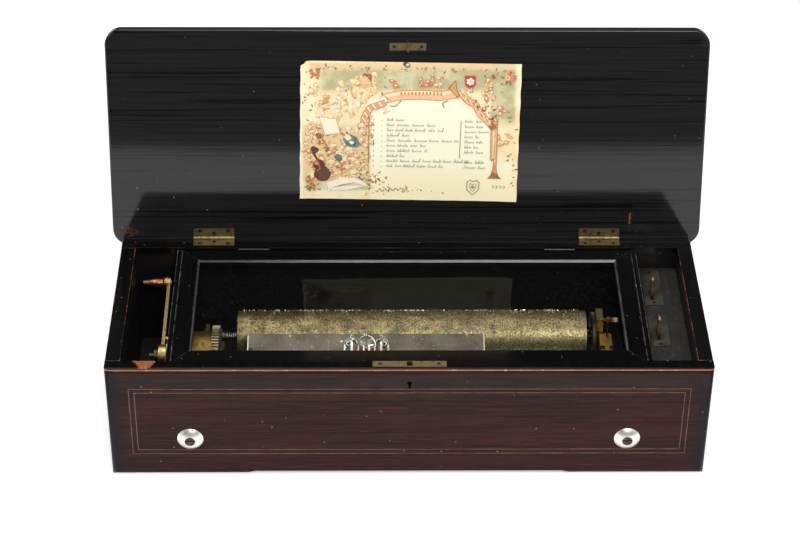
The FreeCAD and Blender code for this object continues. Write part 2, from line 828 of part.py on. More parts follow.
def comb_screw_places():
    step = (COMB_RIGHT - COMB_LEFT - 24.0) / (COMB_SCREWS - 1)
    return [(COMB_LEFT + 12 + k * step, COMB_SCREW_Y) for k in range(COMB_SCREWS)]


def comb():
    """The tuned steel comb: slots between the teeth are deepest at the bass end."""
    pitch = (COMB_RIGHT - COMB_LEFT) / COMB_TEETH
    gap = pitch * 0.22
    outline = [V(COMB_LEFT, COMB_FRONT, COMB_LOW)]
    for k in range(COMB_TEETH):
        x0 = COMB_LEFT + k * pitch
        x1 = x0 + pitch
        root = COMB_BACK_OF_PLATE + 12.0 * k / (COMB_TEETH - 1)
        if k:
            outline.append(V(x0 + gap / 2, root, COMB_LOW))
        outline.append(V(x0 + (gap / 2 if k else 0), COMB_TIP, COMB_LOW))
        last = k == COMB_TEETH - 1
        outline.append(V(x1 - (0 if last else gap / 2), COMB_TIP, COMB_LOW))
        if not last:
            outline.append(V(x1 - gap / 2, root, COMB_LOW))
    outline.append(V(COMB_RIGHT, COMB_FRONT, COMB_LOW))
    plate = Part.Face(Part.makePolygon(outline + outline[:1])).extrude(V(0, 0, COMB_T))
    holes = [rod_z(1.75, x, y, 70, 90) for x, y in comb_screw_places()]
    holes += [rod_z(2.6, x, 40.0, 70, 90) for x in zither_post_places()]
    return plate.cut(holes)


def comb_base():
    body = box(COMB_LEFT, COMB_RIGHT, COMB_FRONT, 54, BED_TOP, COMB_LOW)
    relief = box(COMB_LEFT - 1, COMB_RIGHT + 1, 44, 60, 62, 74)
    holes = [rod_z(1.7, x, y, COMB_LOW - 9, COMB_LOW + 1) for x, y in comb_screw_places()]
    holes += [rod_z(2.6, x, 40.0, COMB_LOW - 7, COMB_LOW + 1) for x in zither_post_places()]
    return body.cut([relief] + holes)


def comb_weights():
    """Lead weights under the bass teeth, smaller towards the treble."""
    pitch = (COMB_RIGHT - COMB_LEFT) / COMB_TEETH
    weights = []
    for k in range(32):
        x = COMB_LEFT + (k + 0.5) * pitch
        drop = 7.0 - 5.0 * k / 31
        reach = 8.0 - 4.0 * k / 31
        high = COMB_LOW
        weights.append(
            box(x - 1.1, x + 1.1, COMB_TIP - 4 - reach, COMB_TIP - 4, high - drop, high)
        )
    return Part.makeCompound(weights)


def movement_screws():
    found = []
    for x, y in comb_screw_places():
        found.append(top_screw(x, y, COMB_LOW + COMB_T, 3.0, 2.2, 1.7, 10.0))
    for x, y in BRACKET_SCREWS:
        found.append(top_screw(x, y, BED_TOP + 4.0, 2.6, 2.0, 1.5, 9.0))
    for x, y in COCK_SCREWS:
        found.append(top_screw(x, y, COCK_TOP, 2.2, 1.6, 1.2, 6.0))
    found.append(click_stud())
    return Part.makeCompound(found)


def movement_screw_spaces():
    return [rod_z(1.52, x, y, BED_TOP - 5.2, BED_TOP + 5) for x, y in BRACKET_SCREWS]


def cylinder_bracket_left():
    """A slim brass upright that the cylinder arbor's left pivot turns in."""
    x0, x1 = -194.5, -190.5
    upright = slab_x(
        [(97, BED_TOP), (121, BED_TOP), (116, 90), (102, 90)],
        x0,
        x1,
    )
    foot = box(x0, x1, 97, 137, BED_TOP, BED_TOP + 4)
    ear = box(x0 - 5.5, x1, 120.5, 137, BED_TOP, BED_TOP + 4)
    tools = [rod_x(2.0 + RUNNING, x0 - 1, x1 + 1, CYL_Y, CYL_Z)] + movement_screw_spaces()
    tools.append(rod_x(BARREL_R + 3.6, x0 - 1, x1 + 1, BARREL_Y, BARREL_Z))
    return joined([upright, foot, ear]).cut(tools)


def cylinder_bracket_right():
    x0, x1 = 180.6, 187.0
    upright = box(x0, x1, 99.5, 117, BED_TOP, 108)
    foot = box(x0, x1, 99.5, 132, BED_TOP, BED_TOP + 4)
    tools = [rod_x(2.0 + RUNNING, x0 - 1, x1 + 1, CYL_Y, CYL_Z)] + movement_screw_spaces()
    return joined([upright, foot]).cut(tools)


def barrel_bracket(x0, x1, foot_x0, foot_x1, foot_y):
    reach = BARREL_ARBOR_R + 7.0
    outline = [
        (BARREL_Y - 20, BED_TOP),
        (BARREL_Y + 17, BED_TOP),
        (BARREL_Y + reach, BARREL_Z),
        (BARREL_Y + 6, BARREL_Z + 12),
        (BARREL_Y - 6, BARREL_Z + 12),
        (BARREL_Y - reach, BARREL_Z),
    ]
    foot = box(foot_x0, foot_x1, foot_y[0], foot_y[1], BED_TOP, BED_TOP + 4)
    bore = rod_x(BARREL_ARBOR_R + RUNNING, x0 - 1, x1 + 1, BARREL_Y, BARREL_Z)
    return joined([slab_x(outline, x0, x1), foot]).cut([bore] + movement_screw_spaces())


def barrel_brackets():
    left = barrel_bracket(-219.5, -214.5, -219.5, -212.5, (46, 104))
    right = barrel_bracket(-178.4, -174.6, -178.4, -172.5, (46, 92))
    return Part.makeCompound([left, right])


def click_pivot(face_angle):
    dy, dz = polar(22, face_angle - 45)
    return BARREL_Y + dy, BARREL_Z + dz


def click_stud():
    """The stud in the left partition that the holding click swings on."""
    y, z = click_pivot(HOLDING_CLICK_ANGLE)
    right = -PARTITION_X - 0.6
    face = -PARTITION_X - PARTITION_T
    inner = RATCHET_RIGHT + 0.2
    outer = RATCHET_LEFT - 0.2
    profile = [(right, 0), (right, 1.5), (face, 1.5), (face, 2.6), (inner, 2.6), (inner, 1.5)]
    profile += [(outer, 1.5), (outer, 2.8), (outer - 1.5, 2.8), (outer - 1.5, 0)]
    return revolved_x(profile, y, z)


# ---- winding lever, barrel ----


def lever_tip():
    dy, dz = polar(LEVER_REACH, LEVER_ANGLE)
    return BARREL_Y + dy, BARREL_Z + dz


def lever_arm():
    """A flat tapered arm with a hub that turns on the barrel arbor and a boss at its end."""
    y1, z1 = lever_tip()
    x0 = LEVER_X - LEVER_T / 2
    x1 = LEVER_X + LEVER_T / 2
    hub = rod_x(10.5, x0 - 2.0, x1 + 2.0, BARREL_Y, BARREL_Z)
    boss = rod_x(5.5, x0, x1, y1, z1)
    side_y, side_z = polar(1.0, LEVER_ANGLE + 90)
    wide, slim = 6.5, 3.4
    outline = [
        (BARREL_Y + side_y * wide, BARREL_Z + side_z * wide),
        (BARREL_Y - side_y * wide, BARREL_Z - side_z * wide),
        (y1 - side_y * slim, z1 - side_z * slim),
        (y1 + side_y * slim, z1 + side_z * slim),
    ]
    py, pz = click_pivot(LEVER_CLICK_ANGLE)
    stud = rod_x(1.5, x1 - 1, RATCHET_RIGHT, py, pz)
    shoulder = rod_x(2.8, x1 - 1, RATCHET_LEFT - 0.2, py, pz)
    body = joined([hub, boss, slab_x(outline, x0, x1), stud, shoulder])
    bore = rod_x(BARREL_ARBOR_R + RUNNING, x0 - 4, x1 + 4, BARREL_Y, BARREL_Z)
    seat = rod_x(2.0, x0 - 1, x1 + 1, y1, z1)
    return body.cut([bore, seat])


def lever_handle():
    """A turned brass handle with a ringed collar, riveted through the arm's end."""
    y1, z1 = lever_tip()
    right = LEVER_X + LEVER_T / 2
    left = LEVER_X - LEVER_T / 2
    profile = [
        (right + 0.8, 0),
        (right + 0.8, 3.0),
        (right, 3.0),
        (right, 1.98),
        (left, 1.98),
        (left, 6.2),
        (left - 1.6, 6.4),
        (left - 2.0, 5.4),
        (left - 2.8, 5.4),
        (left - 3.2, 6.2),
        (left - 4.2, 5.6),
        (left - 5.2, 3.9),
        (left - 9.0, 4.3),
        (left - 14.0, 4.0),
        (left - 21.0, 2.9),
        (left - HANDLE_LENGTH + 4.0, 2.4),
        (left - HANDLE_LENGTH + 2.6, 0),
    ]
    return revolved_x(profile, y1, z1)


def lever_click():
    body = click(3.0, LEVER_CLICK_ANGLE, 0.0, 1.5 + RUNNING)
    return onto_x_axis(body, RATCHET_LEFT, BARREL_Y, BARREL_Z)


def holding_click():
    """Drawn in the lifted place, its nose just clear of the tooth tips."""
    body = click(3.0, HOLDING_CLICK_ANGLE, RATCHET_TIP - RATCHET_ROOT - 0.1, 1.5 + RUNNING)
    return onto_x_axis(body, RATCHET_LEFT, BARREL_Y, BARREL_Z)


def barrel_arbor():
    """The winding arbor, with an end nut that keeps the lever on and a hook for the spring."""
    left = LEVER_X - LEVER_T / 2 - 2.0
    shaft = rod_x(BARREL_ARBOR_R, left - 4.0, -174.0, BARREL_Y, BARREL_Z)
    nut = rod_x(7.0, left - 4.2, left - 0.2, BARREL_Y, BARREL_Z)
    tail = rod_x(2.6, left - 9.0, left - 4.0, BARREL_Y, BARREL_Z)
    core = rod_x(7.5, BARREL_LEFT + 2.4, GREAT_LEFT - 1.8, BARREL_Y, BARREL_Z)
    return joined([shaft, nut, tail, core])


def ratchet():
    body = ratchet_wheel(3.0, BARREL_ARBOR_R, LEVER_CLICK_ANGLE)
    return onto_x_axis(body, RATCHET_LEFT, BARREL_Y, BARREL_Z)


def great_wheel():
    """The great wheel; a tooth points at the cylinder pinion."""
    toward = math.degrees(math.atan2(CYL_Z - BARREL_Z, CYL_Y - BARREL_Y))
    width = GREAT_RIGHT - GREAT_LEFT
    body = gear(GREAT_TEETH, GREAT_MODULE, width, 0.7, 0.25, BARREL_ARBOR_R + RUNNING, toward)
    return onto_x_axis(body, GREAT_LEFT, BARREL_Y, BARREL_Z)


def barrel_drum():
    """The spring barrel's drum and its snapped-in cap."""
    outer = rod_x(BARREL_R, BARREL_LEFT + 1.5, GREAT_LEFT, BARREL_Y, BARREL_Z)
    inner = rod_x(BARREL_R - BARREL_WALL, BARREL_LEFT, GREAT_LEFT - 1.5, BARREL_Y, BARREL_Z)
    bore = rod_x(BARREL_ARBOR_R + RUNNING, BARREL_LEFT - 1, GREAT_LEFT + 1, BARREL_Y, BARREL_Z)
    drum = outer.cut([inner, bore])
    cap = rod_x(BARREL_R, BARREL_LEFT, BARREL_LEFT + 1.5, BARREL_Y, BARREL_Z).cut(bore)
    return Part.makeCompound([drum, cap])


def mainspring():
    """The mainspring as a spiral of half circles, from the drum wall in to the core."""
    thickness = 0.7
    pitch = 2.0
    turns = 7
    outer_r = BARREL_R - BARREL_WALL - 0.3 - thickness / 2
    outside = []
    inside = []
    centre = 0.0
    radius = outer_r
    for k in range(2 * turns):
        way = 1 if k % 2 == 0 else -1
        for offset, row in ((thickness / 2, outside), (-thickness / 2, inside)):
            r = radius + offset
            start = V(centre + way * r, 0, 0)
            middle = V(centre, way * r, 0)
            end = V(centre - way * r, 0, 0)
            row.append(Part.Arc(start, middle, end).toShape())
        centre -= way * pitch / 4
        radius -= pitch / 4
    edges = outside + [line_between(outside[-1], inside[-1])] + inside[::-1]
    edges.append(
        Part.LineSegment(inside[0].Vertexes[0].Point, outside[0].Vertexes[0].Point).toShape()
    )
    face = Part.Face(Part.Wire(Part.__sortEdges__(edges)))
    width = (GREAT_LEFT - 1.9) - (BARREL_LEFT + 2.0)
    return onto_x_axis(face.extrude(V(0, 0, width)), BARREL_LEFT + 1.9, BARREL_Y, BARREL_Z)


def line_between(first, second):
    return Part.LineSegment(first.Vertexes[-1].Point, second.Vertexes[-1].Point).toShape()


# ---- cylinder ----


def cylinder_tube():
    outer = rod_x(CYL_R, CYL_LEFT, CYL_RIGHT, CYL_Y, CYL_Z)
    return outer.cut(rod_x(CYL_R - CYL_WALL, CYL_LEFT - 1, CYL_RIGHT + 1, CYL_Y, CYL_Z))


def cylinder_caps():
    """The two end caps; the right one is set in and carries the snail's follower pin."""
    bore_r = CYL_ARBOR_R + RUNNING
    inner_r = CYL_R - CYL_WALL
    left = rod_x(inner_r, CYL_LEFT, CYL_LEFT + CAP_T, CYL_Y, CYL_Z)
    x0 = CYL_RIGHT - RIGHT_CAP_DEPTH - CAP_T
    right = rod_x(inner_r, x0, x0 + CAP_T, CYL_Y, CYL_Z)
    tip = SNAIL_FACE - TUNE_STEP - 0.45
    pin_z = CYL_Z + SNAIL_OFFSET - FOLLOWER_RADIUS
    right = right.fuse(rod_x(0.8, x0 + CAP_T - 0.5, tip, CYL_Y, pin_z))
    bore = rod_x(bore_r, CYL_LEFT - 1, CYL_RIGHT + 1, CYL_Y, CYL_Z)
    return Part.makeCompound([left.cut(bore), right.cut(bore)])


def snail():
    """A ten-step face cam with a ten-point star behind it; each step moves one tune."""
    sectors = []
    step = 360.0 / TUNES
    for k in range(TUNES):
        # As the snail turns by +step, sector k + 1 comes under the follower pin below it.
        start = -90.0 - step / 2 - k * step
        wedge = Part.makeCylinder(SNAIL_R, TUNE_STEP * (k + 1), V(0, 0, 0), V(0, 0, 1), step)
        wedge.rotate(V(0, 0, 0), V(0, 0, 1), start)
        sectors.append(wedge)
    cam = joined(sectors)
    cam = cam.mirror(V(0, 0, 0), V(0, 0, 1))
    points = []
    for k in range(TUNES):
        points.append(V(*polar(SNAIL_R + 0.7, k * step), 0))
        points.append(V(*polar(SNAIL_R - 1.2, k * step + step / 2), 0))
    star = Part.Face(Part.makePolygon(points + points[:1])).extrude(V(0, 0, 1.2))
    body = star.fuse(cam).cut(Part.makeCylinder(1.5 + RUNNING, 12, V(0, 0, -6)))
    return onto_x_axis(body, SNAIL_FACE, CYL_Y, CYL_Z + SNAIL_OFFSET)


def cylinder_arbor():
    """The steel arbor, with the snail's stud carried by its wheel."""
    shaft = rod_x(CYL_ARBOR_R, -190.0, TRAIN_RIGHT + 0.3, CYL_Y, CYL_Z)
    pivots = rod_x(2.0, -194.5, 187.0, CYL_Y, CYL_Z)
    collar = rod_x(5.0, -178.6, -176.6, CYL_Y, CYL_Z)
    return joined([shaft, pivots, collar])


def cylinder_gears():
    """The pinion that the great wheel drives and the wheel that drives the governor."""
    toward = math.degrees(math.atan2(BARREL_Z - CYL_Z, BARREL_Y - CYL_Y))
    half_step = 180.0 / PINION_TEETH
    width = GREAT_RIGHT - GREAT_LEFT
    pinion = gear(PINION_TEETH, GREAT_MODULE, width, 0.9, 0.25, CYL_ARBOR_R, toward + half_step)
    pinion = onto_x_axis(pinion, GREAT_LEFT, CYL_Y, CYL_Z)
    width = TRAIN_RIGHT - TRAIN_LEFT
    wheel = gear(TRAIN_TEETH, TRAIN_MODULE, width, 0.7, 0.15, CYL_ARBOR_R, governor_angle())
    wheel = onto_x_axis(wheel, TRAIN_LEFT, CYL_Y, CYL_Z)
    windows = []
    for k in range(5):
        dy, dz = polar(13.5, 90 + 36 + k * 72)
        windows.append(rod_x(4.6, TRAIN_LEFT - 1, TRAIN_RIGHT + 1, CYL_Y + dy, CYL_Z + dz))
    stud = rod_x(1.5, SNAIL_FACE - 0.4, TRAIN_LEFT + 0.5, CYL_Y, CYL_Z + SNAIL_OFFSET)
    return Part.makeCompound([pinion, wheel.cut(windows).fuse(stud)])


def governor_angle():
    return math.degrees(math.atan2(GOVERNOR_Z - CYL_Z, GOVERNOR_Y - CYL_Y))


def shift_spring():
    """The coil spring that keeps the cylinder pressed towards the snail."""
    wire_r = 0.5
    coil_r = 4.0
    length = 12.6
    helix = Part.makeHelix(2.1, length - 2 * wire_r, coil_r)
    ring = Part.Wire(Part.makeCircle(wire_r, V(coil_r, 0, 0), V(0, 1, 0)))
    coil = Part.Wire(helix).makePipeShell([ring], True, True)
    return onto_x_axis(coil, -176.6 + wire_r + 0.2, CYL_Y, CYL_Z)


# ---- governor ----


def governor_frame():
    """Two brass cheeks on a foot, the right one relieved beside the endless screw."""
    x0, x1 = COCK_LEFT, COCK_RIGHT
    low = box(x0, 206.0, 68, 99, BED_TOP, BED_TOP + 4)
    left = box(x0, x0 + 3.0, 70, 99, BED_TOP + 4, COCK_TOP - 3)
    right = box(x1 - 3.0, x1, 70, 99, BED_TOP + 4, COCK_TOP - 3)
    tools = [rod_x(1.0 + RUNNING, x0 - 1, x1 + 1, GOVERNOR_Y, GOVERNOR_Z)]
    tools.append(rod_z(1.0 + RUNNING, WORM_X, WORM_Y, BED_TOP + 1.5, BED_TOP + 5))
    tools.append(rod_z(WORM_R + 0.6, WORM_X, WORM_Y, BED_TOP + 4, COCK_TOP - 3))
    tools += [rod_z(1.22, x, y, COCK_TOP - 8, COCK_TOP) for x, y in COCK_SCREWS]
    return joined([low, left, right]).cut(tools + movement_screw_spaces())


def governor_cock():
    """The brass bridge over the endless screw, with an oil sink beside the screw's pivot."""
    plate = box(COCK_LEFT, COCK_RIGHT, 66, 99, COCK_TOP - 3, COCK_TOP)
    upright = [e for e in plate.Edges if abs(e.Vertexes[0].Z - e.Vertexes[1].Z) > 1]
    plate = plate.makeFillet(2.6, upright)
    plate = rounded(plate, 0.8, lambda p: p.z > COCK_TOP - 0.1)
    tools = [rod_z(1.0 + RUNNING, WORM_X, WORM_Y, COCK_TOP - 4, COCK_TOP + 1)]
    tools.append(rod_z(1.5, SINK_X, SINK_Y, COCK_TOP - 1.5, COCK_TOP + 1))
    tools += [rod_z(1.22, x, y, COCK_TOP - 4, COCK_TOP + 1) for x, y in COCK_SCREWS]
    return plate.cut(tools)


def governor_wheel():
    """The pinion, the arbor and the worm wheel of the governor, one staked assembly."""
    gap_at = governor_angle() + 180.0
    half_step = 180.0 / PINION_TEETH
    width = TRAIN_RIGHT - TRAIN_LEFT
    pinion = gear(PINION_TEETH, TRAIN_MODULE, width, 0.9, 0.15, 0.5, gap_at + half_step)
    pinion = onto_x_axis(pinion, TRAIN_LEFT, GOVERNOR_Y, GOVERNOR_Z)
    worm_wheel = gear(WORM_TEETH, TRAIN_MODULE, 2.4, 0.5, 0.2, 0.5, 0.0)
    worm_wheel = onto_x_axis(worm_wheel, WORM_X - 1.2, GOVERNOR_Y, GOVERNOR_Z)
    arbor = rod_x(1.0, 176.0, 197.5, GOVERNOR_Y, GOVERNOR_Z)
    return joined([arbor, pinion, worm_wheel])


def endless_screw():
    """The upright worm that the worm wheel drives."""
    shaft = rod_z(1.0, WORM_X, WORM_Y, BED_TOP + 2.0, 113.0)
    core = rod_z(1.6, WORM_X, WORM_Y, GOVERNOR_Z - 9, GOVERNOR_Z + 9)
    pitch = math.pi * TRAIN_MODULE
    low = GOVERNOR_Z - 8.0
    helix = Part.makeHelix(pitch, 16.0, 1.5)
    helix.translate(V(WORM_X, WORM_Y, low))
    thread = [
        V(WORM_X + 1.4, WORM_Y, low - 0.55),
        V(WORM_X + WORM_R, WORM_Y, low - 0.15),
        V(WORM_X + WORM_R, WORM_Y, low + 0.15),
        V(WORM_X + 1.4, WORM_Y, low + 0.55),
    ]
    profile = Part.makePolygon(thread + thread[:1])
    ridge = Part.Wire(helix).makePipeShell([profile], True, True)
    return shaft.fuse(core).fuse(ridge)


def fly():
    """The air brake: a hub with two thin blades pitched against each other."""
    low, high = 109.0, 113.6
    hub = rod_z(2.2, WORM_X, WORM_Y, low, high)
    blades = []
    for side in (-1, 1):
        x0, x1 = sorted((WORM_X + side * 1.5, WORM_X + side * 9.0))
        blade = box(x0, x1, WORM_Y - 0.35, WORM_Y + 0.35, low, high)
        blade.rotate(V(WORM_X, WORM_Y, (low + high) / 2), V(1, 0, 0), side * 28.0)
        blades.append(blade)
    body = joined([hub] + blades)
    body = body.common(box(150, 230, 50, 150, low, high))
    return body.cut(rod_z(1.0, WORM_X, WORM_Y, 100, 113.0))


# ---- zither attachment ----


def zither_post_places():
    return (ZITHER_LEFT - 4.2, ZITHER_RIGHT + 4.2)


def zither_posts():
    """A post at each end of the zither bar, screwed into the comb's base."""
    posts = []
    for x in zither_post_places():
        stem = rod_z(2.5, x, 40.0, COMB_LOW - 6.5, COMB_LOW + COMB_T + 0.5)
        foot = box(x - 3, x + 3, 36.5, 54, COMB_LOW + COMB_T, COMB_LOW + COMB_T + 2.5)
        ear = box(x - 3, x + 3, 46, 54, COMB_LOW + COMB_T, ZITHER_PIVOT_Z + 4)
        pivot = rod_x(1.5 + RUNNING, x - 4, x + 4, ZITHER_PIVOT_Y, ZITHER_PIVOT_Z)
        posts.append(joined([stem, foot, ear]).cut(pivot))
    return Part.makeCompound(posts)


def zither_plate():
    """The plated cover of the zither bar: a sloping sheet with cheeks and two pivot pins."""
    lean = math.atan2(ZITHER_TOP_Z - ZITHER_PIVOT_Z, ZITHER_TOP_Y - ZITHER_PIVOT_Y)
    along = (math.cos(lean), math.sin(lean))
    across = (-math.sin(lean), math.cos(lean))
    length = math.hypot(ZITHER_TOP_Z - ZITHER_PIVOT_Z, ZITHER_TOP_Y - ZITHER_PIVOT_Y)

    def place(run, rise):
        y = ZITHER_PIVOT_Y + along[0] * run + across[0] * rise
        z = ZITHER_PIVOT_Z + along[1] * run + across[1] * rise
        return y, z

    sheet = [place(0, 0), place(length, 0), place(length, -1.2), place(0, -1.2)]
    cheek = [place(-3, 0), place(length - 5, 0), place(length - 8, -9), place(0, -4)]
    top_y = place(length, 0)[0]
    cover = slab_x(sheet, ZITHER_LEFT, ZITHER_RIGHT)
    corners = [e for e in cover.Edges if e.Length < 1.3 and e.Vertexes[0].Y > top_y - 0.2]
    parts = [cover.makeFillet(4.0, corners)]
    for x0, x1 in ((ZITHER_LEFT, ZITHER_LEFT + 1.5), (ZITHER_RIGHT - 1.5, ZITHER_RIGHT)):
        parts.append(slab_x(cheek, x0, x1))
    for x0, x1 in (
        (ZITHER_LEFT - 7.0, ZITHER_LEFT + 6.0),
        (ZITHER_RIGHT - 6.0, ZITHER_RIGHT + 7.0),
    ):
        parts.append(rod_x(1.5, x0, x1, ZITHER_PIVOT_Y, ZITHER_PIVOT_Z))
    knob_y, knob_z = place(14, 0)
    parts.append(rod_z(2.2, ZITHER_LEFT + 3.5, knob_y, knob_z - 1.5, knob_z + 6.0))
    return joined(parts)


def zither_roll():
    """The tissue roll that damps the teeth, on its holder under the sloping sheet."""
    roll = rod_x(4.0, ZITHER_LEFT + 1.6, ZITHER_RIGHT - 1.6, 70.0, COMB_LOW + COMB_T + 4.5)
    return roll


def zither_ornament():
    """A pierced plated ornament that stands on the sloping sheet."""
    lean = math.degrees(math.atan2(ZITHER_TOP_Z - ZITHER_PIVOT_Z, ZITHER_TOP_Y - ZITHER_PIVOT_Y))
    half = ORNAMENT_W / 2
    outline = [
        (-half, 8.0),
        (half, 8.0),
        (half, 29.0),
        (half - 6, 33.5),
        (8, 34.5),
        (0, 39.5),
        (-8, 34.5),
        (-half + 6, 33.5),
        (-half, 29.0),
    ]
    points = [(ORNAMENT_X + x, ZITHER_PIVOT_Y + y) for x, y in outline]
    plate = slab_z(points, ZITHER_PIVOT_Z + 0.8, ZITHER_PIVOT_Z + 2.0)
    windows = []
    for k in (-1.5, -0.5, 0.5, 1.5):
        x = ORNAMENT_X + k * 4.2
        windows.append(box(x - 1.3, x + 1.3, ZITHER_PIVOT_Y + 12, ZITHER_PIVOT_Y + 24, 80, 110))
    feet = []
    for side in (-1, 1):
        x = ORNAMENT_X + side * (half - 5)
        feet.append(rod_z(1.2, x, ZITHER_PIVOT_Y + 12, ZITHER_PIVOT_Z, ZITHER_PIVOT_Z + 1.0))
    shape = plate.cut(windows).fuse(feet)
    return turned_x(shape, lean, ZITHER_PIVOT_Y, ZITHER_PIVOT_Z)


# ---- control levers ----


def control_lever(y):
    """A flat brass lever that swings fore and aft and shows above the control board."""
    x0 = CONTROL_X - 1.0
    x1 = CONTROL_X + 1.0
    half = 4.0
    blade = box(x0, x1, y - half, y + half, CONTROL_PIVOT_Z, CONTROL_TIP_Z - half)
    top = rod_x(half, x0, x1, y, CONTROL_TIP_Z - half)
    eye = rod_x(half + 1.5, x0, x1, y, CONTROL_PIVOT_Z)
    bore = rod_x(1.5 + RUNNING, x0 - 1, x1 + 1, y, CONTROL_PIVOT_Z)
    return joined([blade, top, eye]).cut(bore)


# ---- assembly ----

CASE_NODES = {
    "front_board": front_board,
    "back_board": back_board,
    "left_side_board": lambda: side_board(-1),
    "right_side_board": lambda: side_board(1),
    "bottom_board": bottom_board,
    "partitions": partitions,
    "inner_rails": inner_rails,
    "control_board": control_board,
    "control_escutcheons": control_escutcheons,
    "case_screws": case_screws,
    "case_bolts": case_bolts,
    "bolt_washers": bolt_washers,
    "lock_case": lock_case,
    "lock_bolt": lock_bolt,
    "case_hinge_leaves": case_hinge_leaves,
    "glass_hinge_case_leaves": glass_hinge_case_leaves,
    "bedplate": bedplate,
    "comb_base": comb_base,
    "comb": comb,
    "comb_weights": comb_weights,
    "movement_screws": movement_screws,
    "cylinder_bracket_left": cylinder_bracket_left,
    "cylinder_bracket_right": cylinder_bracket_right,
    "barrel_brackets": barrel_brackets,
    "governor_frame": governor_frame,
    "governor_cock": governor_cock,
    "zither_posts": zither_posts,
    "holding_click": holding_click,
    "glass_frame_long_rails": glass_frame_long_rails,
    "glass_frame_short_rails": glass_frame_short_rails,
    "glass_pane": glass_pane,
    "glass_hinge_frame_leaves": glass_hinge_frame_leaves,
    "lever_arm": lever_arm,
    "lever_handle": lever_handle,
    "lever_click": lever_click,
    "barrel_arbor": barrel_arbor,
    "ratchet_wheel": ratchet,
    "great_wheel": great_wheel,
    "barrel_drum": barrel_drum,
    "mainspring": mainspring,
    "cylinder_arbor": cylinder_arbor,
    "cylinder_gears": cylinder_gears,
    "cylinder_tube": cylinder_tube,
    "cylinder_caps": cylinder_caps,
    "snail": snail,
    "shift_spring": shift_spring,
    "governor_wheel": governor_wheel,
    "endless_screw": endless_screw,
    "fly": fly,
    "zither_plate": zither_plate,
    "zither_roll": zither_roll,
    "zither_ornament": zither_ornament,
    "start_lever": lambda: control_lever(START_Y),
    "change_lever": lambda: control_lever(CHANGE_Y),
}

LID_NODES = {
    "lid_panel": lid_panel,
    "lid_hinge_leaves": lid_hinge_leaves,
    "lid_screws": lid_screws,
    "strike_plate": strike_plate,
    "tune_card": tune_card,
    "card_tack": card_tack,
}


def rearmost_y():
    """The furthest point of the open lid, on the rounding of its front outer edge."""
    dy = -LID_FRONT + LID_EDGE_R - HINGE_Y
    dz = CASE_H + LID_SEAM + LID_T - LID_EDGE_R - HINGE_Z
    angle = math.radians(90 + LID_LEAN)
    return HINGE_Y + dy * math.cos(angle) + dz * math.sin(angle) + LID_EDGE_R


def write_parts():
    os.makedirs("parts", exist_ok=True)
    middle = (rearmost_y() - washer_stand()) / 2
    shapes = {name: make() for name, make in CASE_NODES.items()}
    for name, make in LID_NODES.items():
        shapes[name] = turned_x(make(), -(90 + LID_LEAN), HINGE_Y, HINGE_Z)
    low = V(1e9, 1e9, 1e9)
    high = V(-1e9, -1e9, -1e9)
    for name, shape in shapes.items():
        shape.translate(V(0, -middle, 0))
        for solid in shape.Solids:
            if not solid.isValid():
                print("not valid:", name)
        bounds = shape.BoundBox
        low = V(min(low.x, bounds.XMin), min(low.y, bounds.YMin), min(low.z, bounds.ZMin))
        high = V(max(high.x, bounds.XMax), max(high.y, bounds.YMax), max(high.z, bounds.ZMax))
        shape.exportStep("parts/%s.step" % name)
    print("nodes", len(shapes), "front face at y", round(-middle, 4))
    print("box", [round(c, 3) for c in (*low, *high)])


write_parts()
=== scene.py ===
import json
import math
import random

import bmesh
import bpy
from mathutils import Matrix, Vector


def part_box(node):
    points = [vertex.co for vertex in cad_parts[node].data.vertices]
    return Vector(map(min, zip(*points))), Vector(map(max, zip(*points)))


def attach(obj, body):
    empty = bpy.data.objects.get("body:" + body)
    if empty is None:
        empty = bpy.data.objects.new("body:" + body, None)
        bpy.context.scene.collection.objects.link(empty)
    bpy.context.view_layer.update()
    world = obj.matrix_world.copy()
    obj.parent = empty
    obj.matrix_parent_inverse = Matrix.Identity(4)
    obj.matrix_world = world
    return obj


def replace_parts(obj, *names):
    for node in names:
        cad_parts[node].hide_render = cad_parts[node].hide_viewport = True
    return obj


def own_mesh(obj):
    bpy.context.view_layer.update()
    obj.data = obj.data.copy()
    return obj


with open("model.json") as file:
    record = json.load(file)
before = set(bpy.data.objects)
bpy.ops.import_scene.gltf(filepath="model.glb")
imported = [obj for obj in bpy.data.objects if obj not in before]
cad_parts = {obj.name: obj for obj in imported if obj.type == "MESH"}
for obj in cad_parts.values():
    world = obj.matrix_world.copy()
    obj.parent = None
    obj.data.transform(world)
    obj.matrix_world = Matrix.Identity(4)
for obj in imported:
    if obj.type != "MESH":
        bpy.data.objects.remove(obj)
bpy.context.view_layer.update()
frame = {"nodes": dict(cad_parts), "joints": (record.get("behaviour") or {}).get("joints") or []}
MM = 0.001
FRONT_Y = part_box("front_board")[0].y

# ---- where things are ----
# Most shapes are written in case coordinates: millimetres, X from the middle of the case, Y from
# its outer front face towards the back and Z up. Pieces on the lid are written with the lid shut.


def joint(name):
    return next(j for j in frame["joints"] if j["name"] == name)


HINGE = Vector(joint("lid_hinge")["pos_m"])
OPENED = math.radians(joint("lid_hinge")["range_deg"][0])
LID_OPEN = (
    Matrix.Translation(HINGE) @ Matrix.Rotation(OPENED, 4, "X") @ Matrix.Translation(-HINGE)
)


def case_point(x, y, z):
    return Vector((x * MM, y * MM + FRONT_Y, z * MM))


def lid_point(x, y, z):
    return LID_OPEN @ case_point(x, y, z)


def node_box(node):
    """A CAD node's low and high corners in case coordinates."""
    low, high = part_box(node)
    shift = Vector((0, FRONT_Y, 0))
    return (low - shift) / MM, (high - shift) / MM


def polar(u, v, radius, turn):
    """The point at a distance and an angle from (u, v)."""
    return u + radius * math.cos(turn), v + radius * math.sin(turn)


